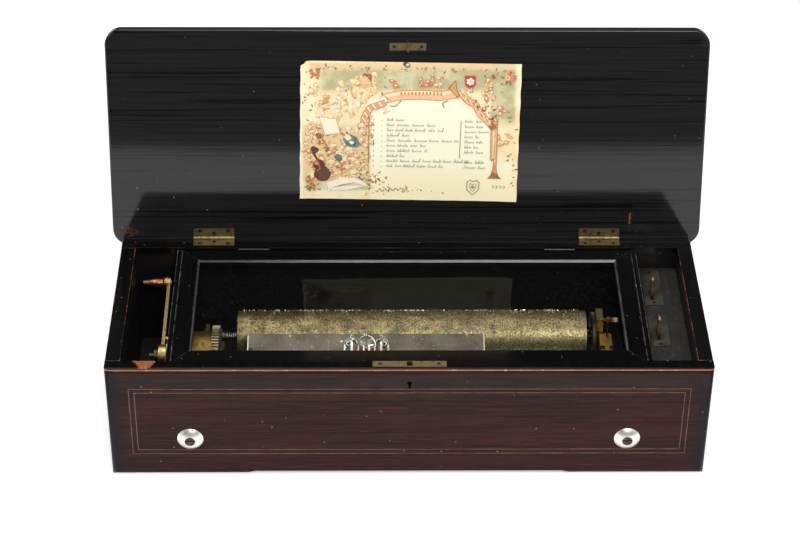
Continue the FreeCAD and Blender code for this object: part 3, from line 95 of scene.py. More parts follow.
def swung(u, v, du, dv, turn):
    """The point (u, v) moved by a step (du, dv) that is turned by an angle."""
    c, s = math.cos(turn), math.sin(turn)
    return u + du * c - dv * s, v + du * s + dv * c


def new_object(name, data):
    thing = bpy.data.objects.new(name, data)
    bpy.context.scene.collection.objects.link(thing)
    return thing


# ---- camera and lights ----

CAMERA_PLACE = Vector((-0.0379, -1.7185, 1.4246))
CAMERA_YAW = math.radians(1.010)
CAMERA_PITCH = math.radians(36.647)
CAMERA_ROLL = math.radians(0.579)
CAMERA_LENS = 100.72

camera_data = bpy.data.cameras.new("camera")
camera_data.lens = CAMERA_LENS
camera_data.sensor_width = 36.0
camera_data.clip_start = 0.05
camera_data.clip_end = 20.0
camera = new_object("camera", camera_data)
camera.matrix_world = (
    Matrix.Translation(CAMERA_PLACE)
    @ Matrix.Rotation(-CAMERA_YAW, 4, "Z")
    @ Matrix.Rotation(math.pi / 2 - CAMERA_PITCH, 4, "X")
    @ Matrix.Rotation(CAMERA_ROLL, 4, "Z")
)
bpy.context.scene.camera = camera
bpy.context.scene.view_settings.view_transform = "Standard"


def area_light(name, place, target, width, depth, watts):
    data = bpy.data.lights.new(name, "AREA")
    data.shape = "RECTANGLE"
    data.size = width
    data.size_y = depth
    data.energy = watts
    light = new_object(name, data)
    light.location = place
    light.rotation_mode = "QUATERNION"
    light.rotation_quaternion = (Vector(target) - Vector(place)).to_track_quat("-Z", "Y")


area_light("top_softbox", (-0.3, 0.15, 1.95), (0, 0, 0), 1.7, 1.1, 19)
area_light("left_fill", (-2.0, -0.6, 1.2), (0, 0, 0.1), 1.2, 1.4, 14)
area_light("front_high", (0.5, -1.65, 2.0), (0, 0, 0.1), 1.4, 0.8, 40)
area_light("right_fill", (2.0, -0.8, 1.3), (0, 0, 0.1), 1.2, 1.4, 10)


def wired(tree, kind, *values, **named):
    """A new shader node; values fill its inputs in order, and named ones by their names."""
    node = tree.nodes.new("ShaderNode" + kind)
    pairs = list(zip(node.inputs, values))
    pairs += [(node.inputs[key.replace("_", " ")], value) for key, value in named.items()]
    for socket, value in pairs:
        if isinstance(value, bpy.types.NodeSocket):
            tree.links.new(value, socket)
        elif value is not None:
            socket.default_value = value
    return node


def make_world():
    """White for the eye, dim for reflections, so that dark polish stays dark."""
    world = bpy.data.worlds.new("studio")
    bpy.context.scene.world = world
    world.use_nodes = True
    tree = world.node_tree
    tree.nodes.clear()
    seen = wired(tree, "Background", (1, 1, 1, 1), 1.0)
    other = wired(tree, "Background", (0.9, 0.95, 1.0, 1), 0.1)
    eye = wired(tree, "LightPath").outputs["Is Camera Ray"]
    mix = wired(tree, "MixShader", eye, other.outputs[0], seen.outputs[0])
    wired(tree, "OutputWorld", Surface=mix.outputs[0])


make_world()


# ---- materials ----


def srgb(red, green, blue):
    """A colour given on the usual 0 to 255 scale, as linear light."""

    def linear(c):
        c = c / 255
        return c / 12.92 if c <= 0.04045 else ((c + 0.055) / 1.055) ** 2.4

    return (linear(red), linear(green), linear(blue), 1.0)


class Finish:
    """A procedural material in case coordinates, in millimetres; tone is its colour so far."""

    def __init__(self, name, on_lid=False, rough=0.5, metal=0.0, **sockets):
        self.mat = bpy.data.materials.new(name)
        self.mat.use_nodes = True
        self.tree = self.mat.node_tree
        self.inputs = self.tree.nodes["Principled BSDF"].inputs
        self.inputs["Roughness"].default_value = rough
        self.inputs["Metallic"].default_value = metal
        for key, value in sockets.items():
            self.inputs[key.replace("_", " ")].default_value = value
        place = self.add("TexCoord").outputs["Object"]
        if on_lid:
            shut = HINGE - Matrix.Rotation(-OPENED, 3, "X") @ HINGE
            place = self.add("Mapping", place, Location=shut, Rotation=(-OPENED, 0, 0)).outputs[0]
        to_mm, shift = 1 / MM, -FRONT_Y / MM
        mapping = self.add("Mapping", place, Location=(0, shift, 0), Scale=(to_mm, to_mm, to_mm))
        self.mm = mapping.outputs[0]
        self.x, self.y, self.z = self.add("SeparateXYZ", self.mm).outputs

    def add(self, kind, *values, **named):
        return wired(self.tree, kind, *values, **named)

    def feed(self, name, socket):
        self.tree.links.new(socket, self.inputs[name])

    def calc(self, op, a, b=None, clamp=False):
        node = self.add("Math", a, b)
        node.operation = op
        node.use_clamp = clamp
        return node.outputs[0]

    def plus(self, a, b, clamp=False):
        return self.calc("ADD", a, b, clamp)

    def minus(self, a, b):
        return self.calc("SUBTRACT", a, b)

    def most(self, a, b):
        return self.calc("MAXIMUM", a, b)

    def size(self, a):
        return self.calc("ABSOLUTE", a)

    def both(self, *masks):
        """The product of masks and numbers."""
        result = masks[0]
        for mask in masks[1:]:
            result = self.calc("MULTIPLY", result, mask)
        return result

    def noise(self, scale, detail=3.0, rough=0.55, stretch=(1, 1, 1), spin=(0, 0, 0), warp=0.0):
        vector = self.mm
        if stretch != (1, 1, 1) or spin != (0, 0, 0):
            vector = self.add("Mapping", vector, Rotation=spin, Scale=stretch).outputs[0]
        sizes = {"Scale": scale, "Detail": detail, "Roughness": rough, "Distortion": warp}
        return self.add("TexNoise", vector, **sizes).outputs["Fac"]

    def step(self, value, low, high):
        """0 below low, 1 above high, smooth between; swapped if low is above high."""
        sides = {"From_Min": min(low, high), "From_Max": max(low, high)}
        sides.update({"To_Min": float(low >= high), "To_Max": float(low < high)})
        node = self.add("MapRange", value, **sides)
        node.interpolation_type = "SMOOTHSTEP"
        return node.outputs["Result"]

    def cloud(self, low, high, *size, **more):
        """Blotches: 0 where the noise is below low and 1 above high."""
        return self.step(self.noise(*size, **more), low, high)

    def scaled(self, value, low, high):
        return self.add("MapRange", value, To_Min=low, To_Max=high).outputs["Result"]

    def band(self, value, low, high, soft):
        """1 between low and high, fading out over soft on both sides."""
        return self.both(self.step(value, low - soft, low), self.step(value, high + soft, high))

    def patch(self, x0, x1, soft_x, y0, y1, soft_y, y=None):
        """1 over a rectangle seen from above, fading out past its sides."""
        return self.both(self.band(self.x, x0, x1, soft_x), self.band(y or self.y, y0, y1, soft_y))

    def mixed(self, mask, a, b):
        """a where mask is 0 and b where it is 1; a colour may be three numbers from 0 to 255."""
        node = self.add("Mix")
        node.data_type = "RGBA"
        for index, value in ((0, mask), (6, a), (7, b)):
            if isinstance(value, tuple):
                node.inputs[index].default_value = srgb(*value)
            else:
                self.tree.links.new(value, node.inputs[index])
        return node.outputs[2]

    def base(self, mask, a, b):
        self.tone = self.mixed(mask, a, b)

    def lay(self, mask, colour, share=None):
        """Lays a colour over the tone so far, share of it where the mask is 1."""
        self.tone = self.mixed(self.both(mask, share) if share else mask, self.tone, colour)

    def scratches(self, amount, size, length, turn):
        """Thin scratches that run mostly along X, turned by some radians about Z and Y."""
        field = self.noise(size, 2.0, 0.6, (1.0 / length, 1, 1), (0, turn * 0.3, turn), 0.3)
        return self.step(field, 0.5 + 0.3 - amount, 0.5 + 0.34 - amount)

    def specks(self, size, amount):
        """Small round specks: size is the cell in millimetres, amount from 0 to 1."""
        cells = self.add("TexVoronoi", self.mm, Scale=1.0 / size)
        near = self.step(cells.outputs["Distance"], 0.22, 0.12)
        pick = self.add("SeparateColor", cells.outputs["Color"]).outputs[0]
        return self.both(near, self.step(pick, 1 - amount, 1 - amount + 0.01))

    def finished(self, height, depth_mm, strength, rough=None):
        """Puts the tone, the relief and the roughness on the shader and gives the material."""
        self.feed("Base Color", self.tone)
        if rough is not None:
            self.feed("Roughness", rough)
        bump = self.add("Bump", Strength=strength, Distance=depth_mm * MM, Height=height)
        self.feed("Normal", bump.outputs[0])
        return self.mat


BLACK = (8, 7, 8)
SOOT = (15, 14, 14)
LID_DARK = (27, 26, 27)
LID_SOOT = (34, 33, 34)
# painted highlight and rubbed grey on the moulding round the glass
BEVEL_HIGHLIGHT_GREY = (112, 110, 106)
DUST = (140, 138, 132)
GREY_WEAR = (78, 76, 76)
BROWN_WEAR = (74, 45, 30)
RAW_WOOD = (164, 94, 48)
CUP = math.tan(math.radians(3.1))  # how much the lid's panel has cupped
INSIDE_TOP = (121.5, 119)  # from here down the case's inner faces are dull
INSIDE_END = 267
INSIDE_DEPTH = (13, 191)


def black_lacquer(name, along_x=True, bevel=False):
    """Ebonised wood: almost black, faint grain, fine scratches, small scuffs and dust."""
    f = Finish(name, Specular_IOR_Level=0.26 if bevel else 0.4)
    stretch = (0.012, 1, 1) if along_x else (1, 0.012, 1)
    grain = f.noise(0.9, 5.0, 0.65, stretch=stretch)
    cloud = f.noise(0.02, 4.0, 0.6)
    crossing = f.scratches(0.05, 0.7, 40.0, -0.9)
    marks = f.plus(f.scratches(0.055, 0.5, 55.0, 0.5), crossing, clamp=True)
    scuffs = f.both(f.cloud(0.66, 0.74, 0.35, 5.0, 0.75), f.step(cloud, 0.45, 0.62))
    f.base(f.step(grain, 0.4, 0.75), BLACK, SOOT)
    f.lay(marks, GREY_WEAR, 0.3)
    f.lay(scuffs, GREY_WEAR, 0.3)
    f.lay(f.specks(3.0, 0.035), DUST, 0.6)
    if bevel:
        # painted highlight along the moulding round the glass, with rubbed grey
        f.lay(bevel_highlight_and_wear(f), BEVEL_HIGHLIGHT_GREY)
    shine = f.scaled(f.noise(0.08, 4.0, 0.6), 0.07, 0.2)
    below = f.step(f.z, *INSIDE_TOP)
    inside = f.both(below, f.band(f.size(f.x), -1, INSIDE_END, 1), f.band(f.y, *INSIDE_DEPTH, 1))
    rough = f.plus(shine, f.both(f.most(inside, scuffs), 0.35), clamp=True)
    return f.finished(f.minus(grain, f.both(marks, 0.6)), 0.01, 0.8, rough)


def bevel_highlight_and_wear(f):
    """A mask over the moulding round the glass, along its ends and back: a painted highlight line,
    also grey where handling has rubbed the black.
    """
    low, high = node_box("glass_pane")
    ends = f.band(f.size(f.x), high.x - 3.3, high.x - 2.5, 0.3)
    ends = f.both(ends, f.band(f.y, low.y + 2, high.y - 2, 1))
    back = f.patch(low.x + 3, high.x - 3, 1, high.y - 3.4, high.y - 2.6, 0.4)
    fade = f.scaled(f.noise(0.06, 5.0, 0.7), 0.1, 1.1)
    return f.both(f.most(ends, f.both(back, 0.5)), f.step(f.z, 121.5, 122.2), fade)


def lid_black():
    """The lid's inside: deep polish over a rippled, slightly cupped panel with rubbed corners."""
    f = Finish("lid_black", on_lid=True, Specular_IOR_Level=0.39)
    grain = f.noise(0.7, 5.0, 0.65, stretch=(0.012, 1, 1), spin=(0, 0, 0.04))
    ripple = f.noise(0.07, 3.0, 0.5, stretch=(0.07, 1, 1), spin=(0, 0, 0.05), warp=0.6)
    crossing = f.scratches(0.04, 0.7, 30.0, -0.9)
    marks = f.plus(f.scratches(0.05, 0.5, 55.0, 0.5), crossing, clamp=True)
    f.base(f.step(grain, 0.35, 0.7), LID_DARK, LID_SOOT)
    f.lay(marks, GREY_WEAR, 0.25)
    f.lay(f.specks(4.0, 0.02), DUST, 0.7)
    rub = f.noise(0.12, 5.0, 0.7)
    far_x = f.both(f.size(f.plus(f.x, 275)), 1 / 14)
    far_y = f.both(f.size(f.minus(f.y, 200)), 1 / 6)
    ragged = f.both(f.noise(0.16, 4.0, 0.7), 1.8)
    left_low = f.step(f.minus(f.plus(far_x, far_y), ragged), 0.3, -0.1)
    left_high = f.both(f.patch(-275, -271, 3, 109, 118, 4), f.cloud(0.5, 0.6, 0.6))
    right_high = f.both(f.step(f.x, 276, 289), f.band(f.y, -12, 4, 8))
    corners = f.plus(left_low, f.plus(left_high, right_high), clamp=True)
    inner = f.step(f.z, 129.0, 128.2)
    worn = f.both(corners, f.step(rub, 0.36, 0.5), inner)
    f.lay(worn, BROWN_WEAR, 0.6)
    ragged = f.cloud(0.42, 0.52, 0.5, 3, 0.6)
    orange = f.both(f.patch(219.2, 220.4, 0.4, 180, 190, 1), ragged, inner)
    pores = f.noise(0.3, 4.0, 0.6, stretch=(0.012, 1, 1), spin=(0, 0, 0.07), warp=0.5)
    pores = f.step(pores, 0.54, 0.64)
    f.lay(pores, BLACK, 0.85)
    f.lay(orange, (170, 84, 52))
    dull = f.plus(f.both(pores, 0.04), f.both(worn, 0.3))
    relief = f.plus(f.both(ripple, 0.03), f.both(grain, 0.0006))
    rough = f.plus(f.scaled(grain, 0.03, 0.1), dull)
    return f.finished(f.minus(relief, f.both(f.y, CUP)), 1.0, 1.0, rough)


def worn_edge(name, amount, raw=RAW_WOOD, bright=(214, 180, 150)):
    """A thin rubbed arris: bare wood along most of it, brighter in patches."""
    f = Finish(name, rough=0.42)
    rub = f.noise(0.05, 5.0, 0.75)
    f.base(f.step(rub, 0.62 - amount, 0.72 - amount), SOOT, raw)
    fleck = f.noise(0.11, 4.0, 0.7)
    f.lay(f.step(fleck, 0.55, 0.66), bright)
    return f.finished(f.noise(0.8, 3, 0.6), 0.08, 0.5)


def rosewood():
    """Veneer with fine dark streaks, darker ends, a cold grey band near the top and small chips.
    """
    f = Finish("rosewood", Specular_IOR_Level=0.12)
    fine = f.noise(1.6, 6.0, 0.7, stretch=(0.02, 1, 1))
    broad = f.noise(0.35, 5.0, 0.6, stretch=(0.014, 1, 1), warp=0.4)
    waves = f.noise(0.05, 3.0, 0.5, stretch=(0.12, 1, 1))
    f.base(f.step(fine, 0.36, 0.64), (22, 12, 11), (68, 32, 26))
    f.lay(f.step(broad, 0.44, 0.62), (22, 13, 13), 0.75)
    f.lay(f.step(waves, 0.45, 0.7), (72, 38, 29), 0.3)
    streak = f.noise(0.7, 3.0, 0.6, stretch=(0.01, 1, 1))
    f.lay(f.step(streak, 0.62, 0.7), (20, 14, 14), 0.6)
    # a colder, greyer band along the top of the front face
    top = f.step(f.plus(f.z, f.scaled(broad, -1.5, 1.5)), 104.0, 107.5)
    haze = f.cloud(0.3, 0.75, 0.2, 4, 0.6, (0.08, 1, 1))
    f.lay(top, f.mixed(haze, (32, 24, 24), (50, 37, 35)), 0.85)
    f.lay(f.step(f.size(f.x), 262, 274), (24, 24, 32), 0.8)
    f.lay(f.step(f.z, 5.0, 1.5), (20, 15, 15), 0.7)
    scuff = f.both(f.band(f.x, 271, 275, 3), f.band(f.z, 110, 120, 4))
    f.lay(f.both(scuff, f.cloud(0.54, 0.6, 0.9, 4, 0.7)), (140, 60, 44), 0.6)
    upward = f.step(f.z, 126.4, 126.8)
    f.lay(upward, f.mixed(f.cloud(0.4, 0.7, 0.2), BLACK, SOOT))
    reach = f.plus(f.size(f.plus(f.x, 243.5)), f.scaled(f.noise(0.4, 5, 0.7), -6, 6))
    reach = f.minus(reach, f.both(f.y, 0.5))
    bare = f.both(f.step(reach, 3.6, 2.4), upward)
    splinter = f.cloud(0.38, 0.6, 0.7, 5, 0.7)
    f.lay(bare, f.mixed(splinter, (182, 116, 74), (96, 56, 36)))
    chips = f.specks(4.4, 0.035)
    f.lay(chips, (150, 128, 116), 0.7)
    rough = f.minus(f.scaled(fine, 0.3, 0.46), f.both(upward, 0.22))
    return f.finished(f.minus(fine, f.both(chips, 1.5)), 0.06, 0.7, rough)


def stringing():
    """Light wood line inlay, dirty and faded in stretches."""
    f = Finish("stringing", rough=0.45)
    fade = f.noise(0.05, 4.0, 0.65)
    f.base(f.step(fade, 0.36, 0.62), (70, 44, 36), (118, 84, 66))
    f.lay(f.cloud(0.62, 0.7, 0.6, 3, 0.6), (66, 36, 28))
    return f.finished(f.noise(2.0), 0.03, 0.5)


def plain_wood(name, rough, size, stretch, dark, light, haze, dust, depth):
    """Unpolished dark wood; haze gives the dust's share, where it starts and ends, its scale."""
    f = Finish(name, rough=rough)
    grain = f.noise(size, 5.0, 0.6, stretch=stretch)
    f.base(f.step(grain, 0.35, 0.7), dark, light)
    share, low, high, scale = haze
    f.lay(f.cloud(low, high, scale, 5, 0.7), dust, share)
    return f.finished(grain, depth, 0.5)


def brass(name, bright, dull, stain, rough=0.32, on_lid=False, tarnish=0.5):
    """Old brass: bright where handled, dull and stained elsewhere, with fine scratches."""
    f = Finish(name, on_lid=on_lid, metal=1.0)
    cloud = f.noise(0.16, 5.0, 0.65)
    f.base(f.step(cloud, 0.62 - tarnish * 0.3, 0.85 - tarnish * 0.3), bright, dull)
    spots = f.noise(0.7, 4.0, 0.7)
    f.lay(f.step(spots, 0.58, 0.72), stain, 0.8)
    relief = f.plus(f.noise(2.2, 3.0, 0.6), f.both(spots, 0.5))
    shine = f.scaled(cloud, rough - 0.08, rough + 0.16)
    return f.finished(relief, 0.03, 0.5, f.plus(shine, f.both(spots, 0.08)))


def cylinder_brass():
    """The pinned cylinder: yellow brass gone olive and orange in blotches, with painted light
    towards its right end and painted pin shadows as a dark speckle.
    """
    f = Finish("cylinder_brass", metal=1.0)
    blotch = f.noise(0.06, 5.0, 0.7)
    ochre = f.noise(0.11, 4.0, 0.65)
    fine = f.noise(0.55, 4.0, 0.75)
    f.base(f.step(blotch, 0.36, 0.62), (170, 148, 107), (110, 96, 66))
    f.lay(f.step(ochre, 0.52, 0.68), (166, 122, 74), 0.45)
    # painted light: lighter towards the cylinder's right end
    f.lay(f.step(f.x, 10, 130), (196, 175, 130), 0.4)
    # painted shade: a dark speckle for the pins' small shadows
    f.lay(f.step(fine, 0.5, 0.6), (44, 38, 24), 0.7)
    dots = f.noise(0.8, 2.0, 0.5)
    f.lay(f.step(dots, 0.54, 0.62), (48, 40, 26), 0.7)
    f.feed("Metallic", f.scaled(f.step(blotch, 0.3, 0.7), 1.0, 0.8))
    return f.finished(fine, 0.08, 0.8, f.scaled(fine, 0.34, 0.6))


def steel(name, light, dark, rough=0.35, rust=0.0):
    f = Finish(name, metal=1.0)
    cloud = f.noise(0.3, 5.0, 0.65)
    f.base(f.step(cloud, 0.35, 0.7), light, dark)
    if rust:
        f.lay(f.cloud(0.55, 0.7, 0.5, 5, 0.7), (84, 58, 42), rust)
    return f.finished(f.noise(2.0, 3, 0.6), 0.03, 0.4, f.scaled(cloud, rough - 0.1, rough + 0.15))


def plated(name, light, dark, rough, spots=0.05, ends=None):
    """Nickel plating with dull clouds and small bright specks."""
    f = Finish(name, metal=1.0)
    cloud = f.noise(0.05, 5.0, 0.6)
    fine = f.noise(0.6, 4.0, 0.7)
    f.base(f.step(cloud, 0.35, 0.7), light, dark)
    f.lay(f.step(fine, 0.58, 0.7), dark, 0.4)
    dust = f.most(f.specks(1.8, spots), f.specks(7.0, spots))
    f.lay(dust, (226, 222, 212), 0.8)
    # painted highlight: a bright band along each end of the plate
    if ends:
        left = f.step(f.x, ends[0] + 1.3, ends[0] + 0.7)
        right = f.step(f.x, ends[1] - 1.3, ends[1] - 0.7)
        f.lay(f.most(left, right), (255, 250, 236), 0.5)
    return f.finished(fine, 0.03, 0.4, f.scaled(cloud, rough - 0.06, rough + 0.12))


def glass():
    """Old thin glass: nearly clear, with a soft reflection outside and a little dust."""
    mat = bpy.data.materials.new("pane_glass")
    mat.use_nodes = True
    tree = mat.node_tree
    tree.nodes.clear()
    clear = wired(tree, "BsdfTransparent", Color=(0.93, 0.95, 0.94, 1))
    gloss = wired(tree, "BsdfGlossy", Color=(0.9, 0.92, 0.92, 1), Roughness=0.03)
    dust = wired(tree, "BsdfDiffuse", Color=(0.62, 0.62, 0.6, 1))
    outer = wired(tree, "Math", 0.3, wired(tree, "NewGeometry").outputs["Backfacing"])
    outer.operation = "SUBTRACT"
    outer.use_clamp = True
    share = wired(tree, "Math", wired(tree, "Fresnel", IOR=1.45).outputs[0], outer.outputs[0])
    share.operation = "MULTIPLY"
    mirror = wired(tree, "MixShader", share.outputs[0], clear.outputs[0], gloss.outputs[0])
    place = wired(tree, "TexCoord").outputs["Object"]
    noise = wired(tree, "TexNoise", place, Scale=900, Detail=3).outputs["Fac"]
    amount = wired(tree, "MapRange", noise, From_Min=0.55, From_Max=0.8, To_Max=0.02)
    dusty = wired(tree, "MixShader", amount.outputs[0], mirror.outputs[0], dust.outputs[0])
    wired(tree, "OutputMaterial", dusty.outputs[0])
    return mat


def card_paper():
    """The tune card's sheet: printed washes of olive and peach round a cream field."""
    f = Finish("card_paper", on_lid=True, rough=0.7)
    cloud = f.noise(0.06, 4.0, 0.6)
    fine = f.noise(0.5, 4.0, 0.65)
    edge = f.plus(f.y, f.scaled(fine, -3, 3))
    f.base(f.step(cloud, 0.35, 0.7), (255, 242, 202), (250, 226, 172))
    f.lay(f.patch(-98, -38, 8, 92, 140, 8, edge), (232, 194, 138), 0.75)
    top = f.patch(-78, 92, 12, 34, 50, 7, edge)
    side = f.patch(82, 102, 4, 36, 78, 16, edge)
    ground = f.patch(-96, -16, 6, 144, 154, 3, edge)
    greens = f.most(top, f.most(side, f.both(ground, 0.7)))
    blotch = f.scaled(f.cloud(0.3, 0.62, 0.06, 5.0, 0.65), 0.55, 1.0)
    f.lay(f.both(greens, blotch), (190, 182, 138))
    f.lay(f.patch(-92, 100, 4, 26, 32, 1.5, edge), (236, 200, 148), 0.8)
    fall = f.both(f.most(f.minus(f.x, 46), 0.0), 0.8)
    below = f.step(f.minus(edge, fall), 58, 66)
    corner = f.both(f.band(f.x, 0, 100, 6), f.step(edge, 118, 134))
    centre = f.most(f.both(f.band(f.x, -34, 80, 4), below), corner)
    f.lay(centre, f.mixed(f.step(edge, 120, 150), (255, 251, 222), (255, 243, 200)))
    rim = f.step(f.size(f.minus(f.x, 3.4)), 104.6, 105.8)
    f.lay(rim, (255, 244, 214))
    grime = f.both(f.cloud(0.56, 0.72, 0.3, 5, 0.7), f.step(cloud, 0.4, 0.7))
    f.lay(grime, (196, 160, 110), 0.25)
    return f.finished(fine, 0.04, 0.4)


def ink(name, colour, second):
    """Printer's ink, a little uneven."""
    f = Finish("ink_" + name, on_lid=True, rough=0.65)
    f.base(f.cloud(0.35, 0.7, 0.5, 4, 0.65), colour, second)
    return f.finished(f.noise(1.2), 0.02, 0.3)


def felt():
    f = Finish("red_felt", rough=0.9, Sheen_Weight=0.3)
    f.base(f.cloud(0.3, 0.7, 1.5, 4, 0.7), (110, 22, 26), (168, 40, 40))
    return f.finished(f.noise(3.0, 4, 0.7), 0.2, 0.7)


def tissue():
    f = Finish("tissue", rough=0.9)
    fold = f.noise(0.8, 4, 0.6, stretch=(0.05, 1, 1))
    f.base(fold, (196, 184, 160), (232, 224, 204))
    return f.finished(fold, 0.3, 0.6)


def wall_white():
    mat = bpy.data.materials.new("studio_floor")
    mat.use_nodes = True
    bsdf = mat.node_tree.nodes["Principled BSDF"]
    bsdf.inputs["Base Color"].default_value = (0.92, 0.92, 0.92, 1)
    bsdf.inputs["Roughness"].default_value = 0.9
    bsdf.inputs["Specular IOR Level"].default_value = 0.1
    bsdf.inputs["Emission Color"].default_value = (1, 1, 1, 1)
    bsdf.inputs["Emission Strength"].default_value = 0.4
    return mat


CASE_BLACK = black_lacquer("case_black")
CASE_BLACK_DEPTH = black_lacquer("case_black_depth", along_x=False)
RAIL_BLACK = black_lacquer("rail_black", bevel=True)
RAIL_BLACK_DEPTH = black_lacquer("rail_black_depth", along_x=False, bevel=True)
LID_BLACK = lid_black()
FRONT_EDGE = worn_edge("front_edge", 0.36)
FRAME_EDGE = worn_edge("frame_edge", 0.2, (84, 82, 80), (150, 148, 142))
INSIDE_EDGE = worn_edge("inside_edge", 0.16, (110, 62, 42), (160, 100, 66))
ROSEWOOD = rosewood()
STRINGING = stringing()
INNER_WOOD = plain_wood(
    "inner_wood", 0.6, 0.8, (0.03, 1, 1), (16, 14, 13), (28, 24, 21),
    (0.5, 0.55, 0.7, 0.09), (44, 39, 34), 0.1,
)
DUSTY_BOARD = plain_wood(
    "dusty_board", 0.55, 0.7, (1, 0.03, 1), (22, 21, 20), (36, 33, 31),
    (0.6, 0.5, 0.68, 0.07), (66, 60, 55), 0.08,
)
HINGE_BRASS = brass("hinge_brass", (140, 126, 90), (94, 84, 60), (48, 42, 30), 0.4)
LID_BRASS = brass("lid_brass", (138, 122, 84), (92, 80, 55), (46, 38, 26), 0.4, on_lid=True)
LEVER_BRASS = brass("lever_brass", (196, 170, 112), (132, 110, 68), (64, 50, 32), 0.32)
TRAIN_BRASS = brass("train_brass", (206, 180, 122), (140, 120, 76), (70, 58, 38), 0.3)
COCK_BRASS = brass("cock_brass", (206, 160, 88), (160, 118, 60), (84, 56, 28), 0.36, tarnish=0.35)
COPPER = brass("copper", (132, 104, 78), (92, 70, 52), (46, 36, 30), 0.42)
LEVER_BRONZE = brass("lever_bronze", (150, 122, 90), (104, 80, 56), (50, 38, 28), 0.45)
HANDLE_BRONZE = brass("handle_bronze", (178, 136, 92), (112, 78, 50), (52, 38, 26), 0.3)
DRUM_BRASS = brass("drum_brass", (132, 104, 58), (88, 68, 38), (48, 36, 22), 0.42)
WHEEL_BRASS = brass("wheel_brass", (158, 146, 120), (112, 102, 82), (60, 52, 40), 0.4)
DULL_BRASS = brass("dull_brass", (92, 82, 54), (60, 54, 38), (32, 28, 20), 0.5)
CYLINDER_BRASS = cylinder_brass()
# bright and dull copies of the pin steel, which paint the pins' glints
PIN_GLINT = steel("pin_glint", (244, 238, 216), (150, 138, 104), 0.35)
PIN_NO_GLINT = steel("pin_no_glint", (128, 114, 80), (72, 62, 40), 0.5)
BRIGHT_STEEL = steel("bright_steel", (204, 204, 204), (140, 140, 142), 0.28)
BLUED_STEEL = steel("dark_steel", (92, 84, 76), (46, 40, 38), 0.4, rust=0.6)
# black iron for the bedplate, also used on the snail as painted shade
BLACK_IRON_AND_SHADE = steel("black_iron", (44, 42, 42), (26, 25, 26), 0.5)
LEAD = steel("lead", (110, 110, 114), (80, 80, 84), 0.6)
DOME_NICKEL = plated("dome_nickel", (255, 250, 238), (226, 218, 202), 0.34, 0.0)
PLATE_LOW, PLATE_HIGH = node_box("zither_plate")
PIVOT_PROUD = 7.0
# where the painted highlights along the zither plate's ends go
PLATE_ENDS = (PLATE_LOW.x + PIVOT_PROUD, PLATE_HIGH.x - PIVOT_PROUD)
GREY_NICKEL = plated("grey_nickel", (108, 99, 88), (88, 80, 71), 0.46, 0.12, PLATE_ENDS)
DARK_NICKEL = plated("dark_nickel", (124, 118, 110), (70, 64, 58), 0.42, 0.02)
ORNAMENT_NICKEL = plated("ornament_nickel", (232, 228, 220), (150, 144, 134), 0.3, 0.0)
GLASS = glass()
CARD_PAPER = card_paper()
FELT = felt()
TISSUE = tissue()

NODES_OF_FINISH = (
    (INNER_WOOD, "bottom_board inner_rails"),
    (CASE_BLACK, "glass_hinge_case_leaves glass_hinge_frame_leaves"),
    (LID_BLACK, "lid_panel"),
    (GLASS, "glass_pane"),
    (TISSUE, "zither_roll"),
    (LEAD, "comb_weights"),
    # the bedplate is black iron; the snail gets the same dark finish as painted shade
    (BLACK_IRON_AND_SHADE, "bedplate snail"),
    (DOME_NICKEL, "bolt_washers"),
    (DARK_NICKEL, "control_escutcheons"),
    (GREY_NICKEL, "zither_plate"),
    (HINGE_BRASS, "lock_case case_hinge_leaves cylinder_bracket_right"),
    (LID_BRASS, "lid_hinge_leaves strike_plate"),
    (TRAIN_BRASS, "comb_base cylinder_caps"),
    (COCK_BRASS, "governor_cock zither_posts"),
    (DULL_BRASS, "cylinder_bracket_left barrel_brackets cylinder_gears"),
    (DULL_BRASS, "governor_frame governor_wheel"),
    (WHEEL_BRASS, "great_wheel"),
    (DRUM_BRASS, "barrel_drum"),
    (CYLINDER_BRASS, "cylinder_tube"),
    (LEVER_BRASS, "lever_arm"),
    (HANDLE_BRONZE, "lever_handle"),
    (LEVER_BRONZE, "start_lever change_lever"),
    (BRIGHT_STEEL, "lock_bolt comb holding_click lever_click ratchet_wheel card_tack"),
    (BRIGHT_STEEL, "shift_spring"),
    (BLUED_STEEL, "case_screws case_bolts movement_screws lid_screws barrel_arbor mainspring"),
    (BLUED_STEEL, "cylinder_arbor endless_screw"),
)


def give(piece, finish):
    if not piece.material_slots:
        piece.data.materials.append(finish)
    for slot in piece.material_slots:
        slot.material = finish


for node_finish, node_names in NODES_OF_FINISH:
    for node_name in node_names.split():
        give(frame["nodes"][node_name], node_finish)


# ---- building pieces ----


def place_piece(name, mesh, body, smooth_angle):
    mesh.shade_smooth()
    mesh.set_sharp_from_angle(angle=math.radians(smooth_angle))
    piece = new_object(name, mesh)
    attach(piece, body)
    return piece


class Shape:
    """A mesh under construction, in the row frame, with several finishes."""

    def __init__(self):
        self.points = []
        self.faces = []
        self.marks = []
        self.finishes = []

    def add(self, points, faces, finish):
        if finish not in self.finishes:
            self.finishes.append(finish)
        start = len(self.points)
        self.points += [tuple(p) for p in points]
        self.faces += [[start + i for i in face] for face in faces]
        self.marks += [self.finishes.index(finish)] * len(faces)

    def done(self, name, body, slot, smooth_angle=40.0):
        mesh = bpy.data.meshes.new(name)
        mesh.from_pydata(self.points, [], self.faces)
        for finish in self.finishes:
            mesh.materials.append(finish)
        mesh.polygons.foreach_set("material_index", self.marks)
        bm = bmesh.new()
        bm.from_mesh(mesh)
        bmesh.ops.recalc_face_normals(bm, faces=bm.faces)
        bm.to_mesh(mesh)
        bm.free()
        return place_piece(name, mesh, body, smooth_angle)


MERGE = 2e-6
FLAT = math.radians(0.5)
SHARP = math.radians(30)
SMOOTH_BELOW = 38


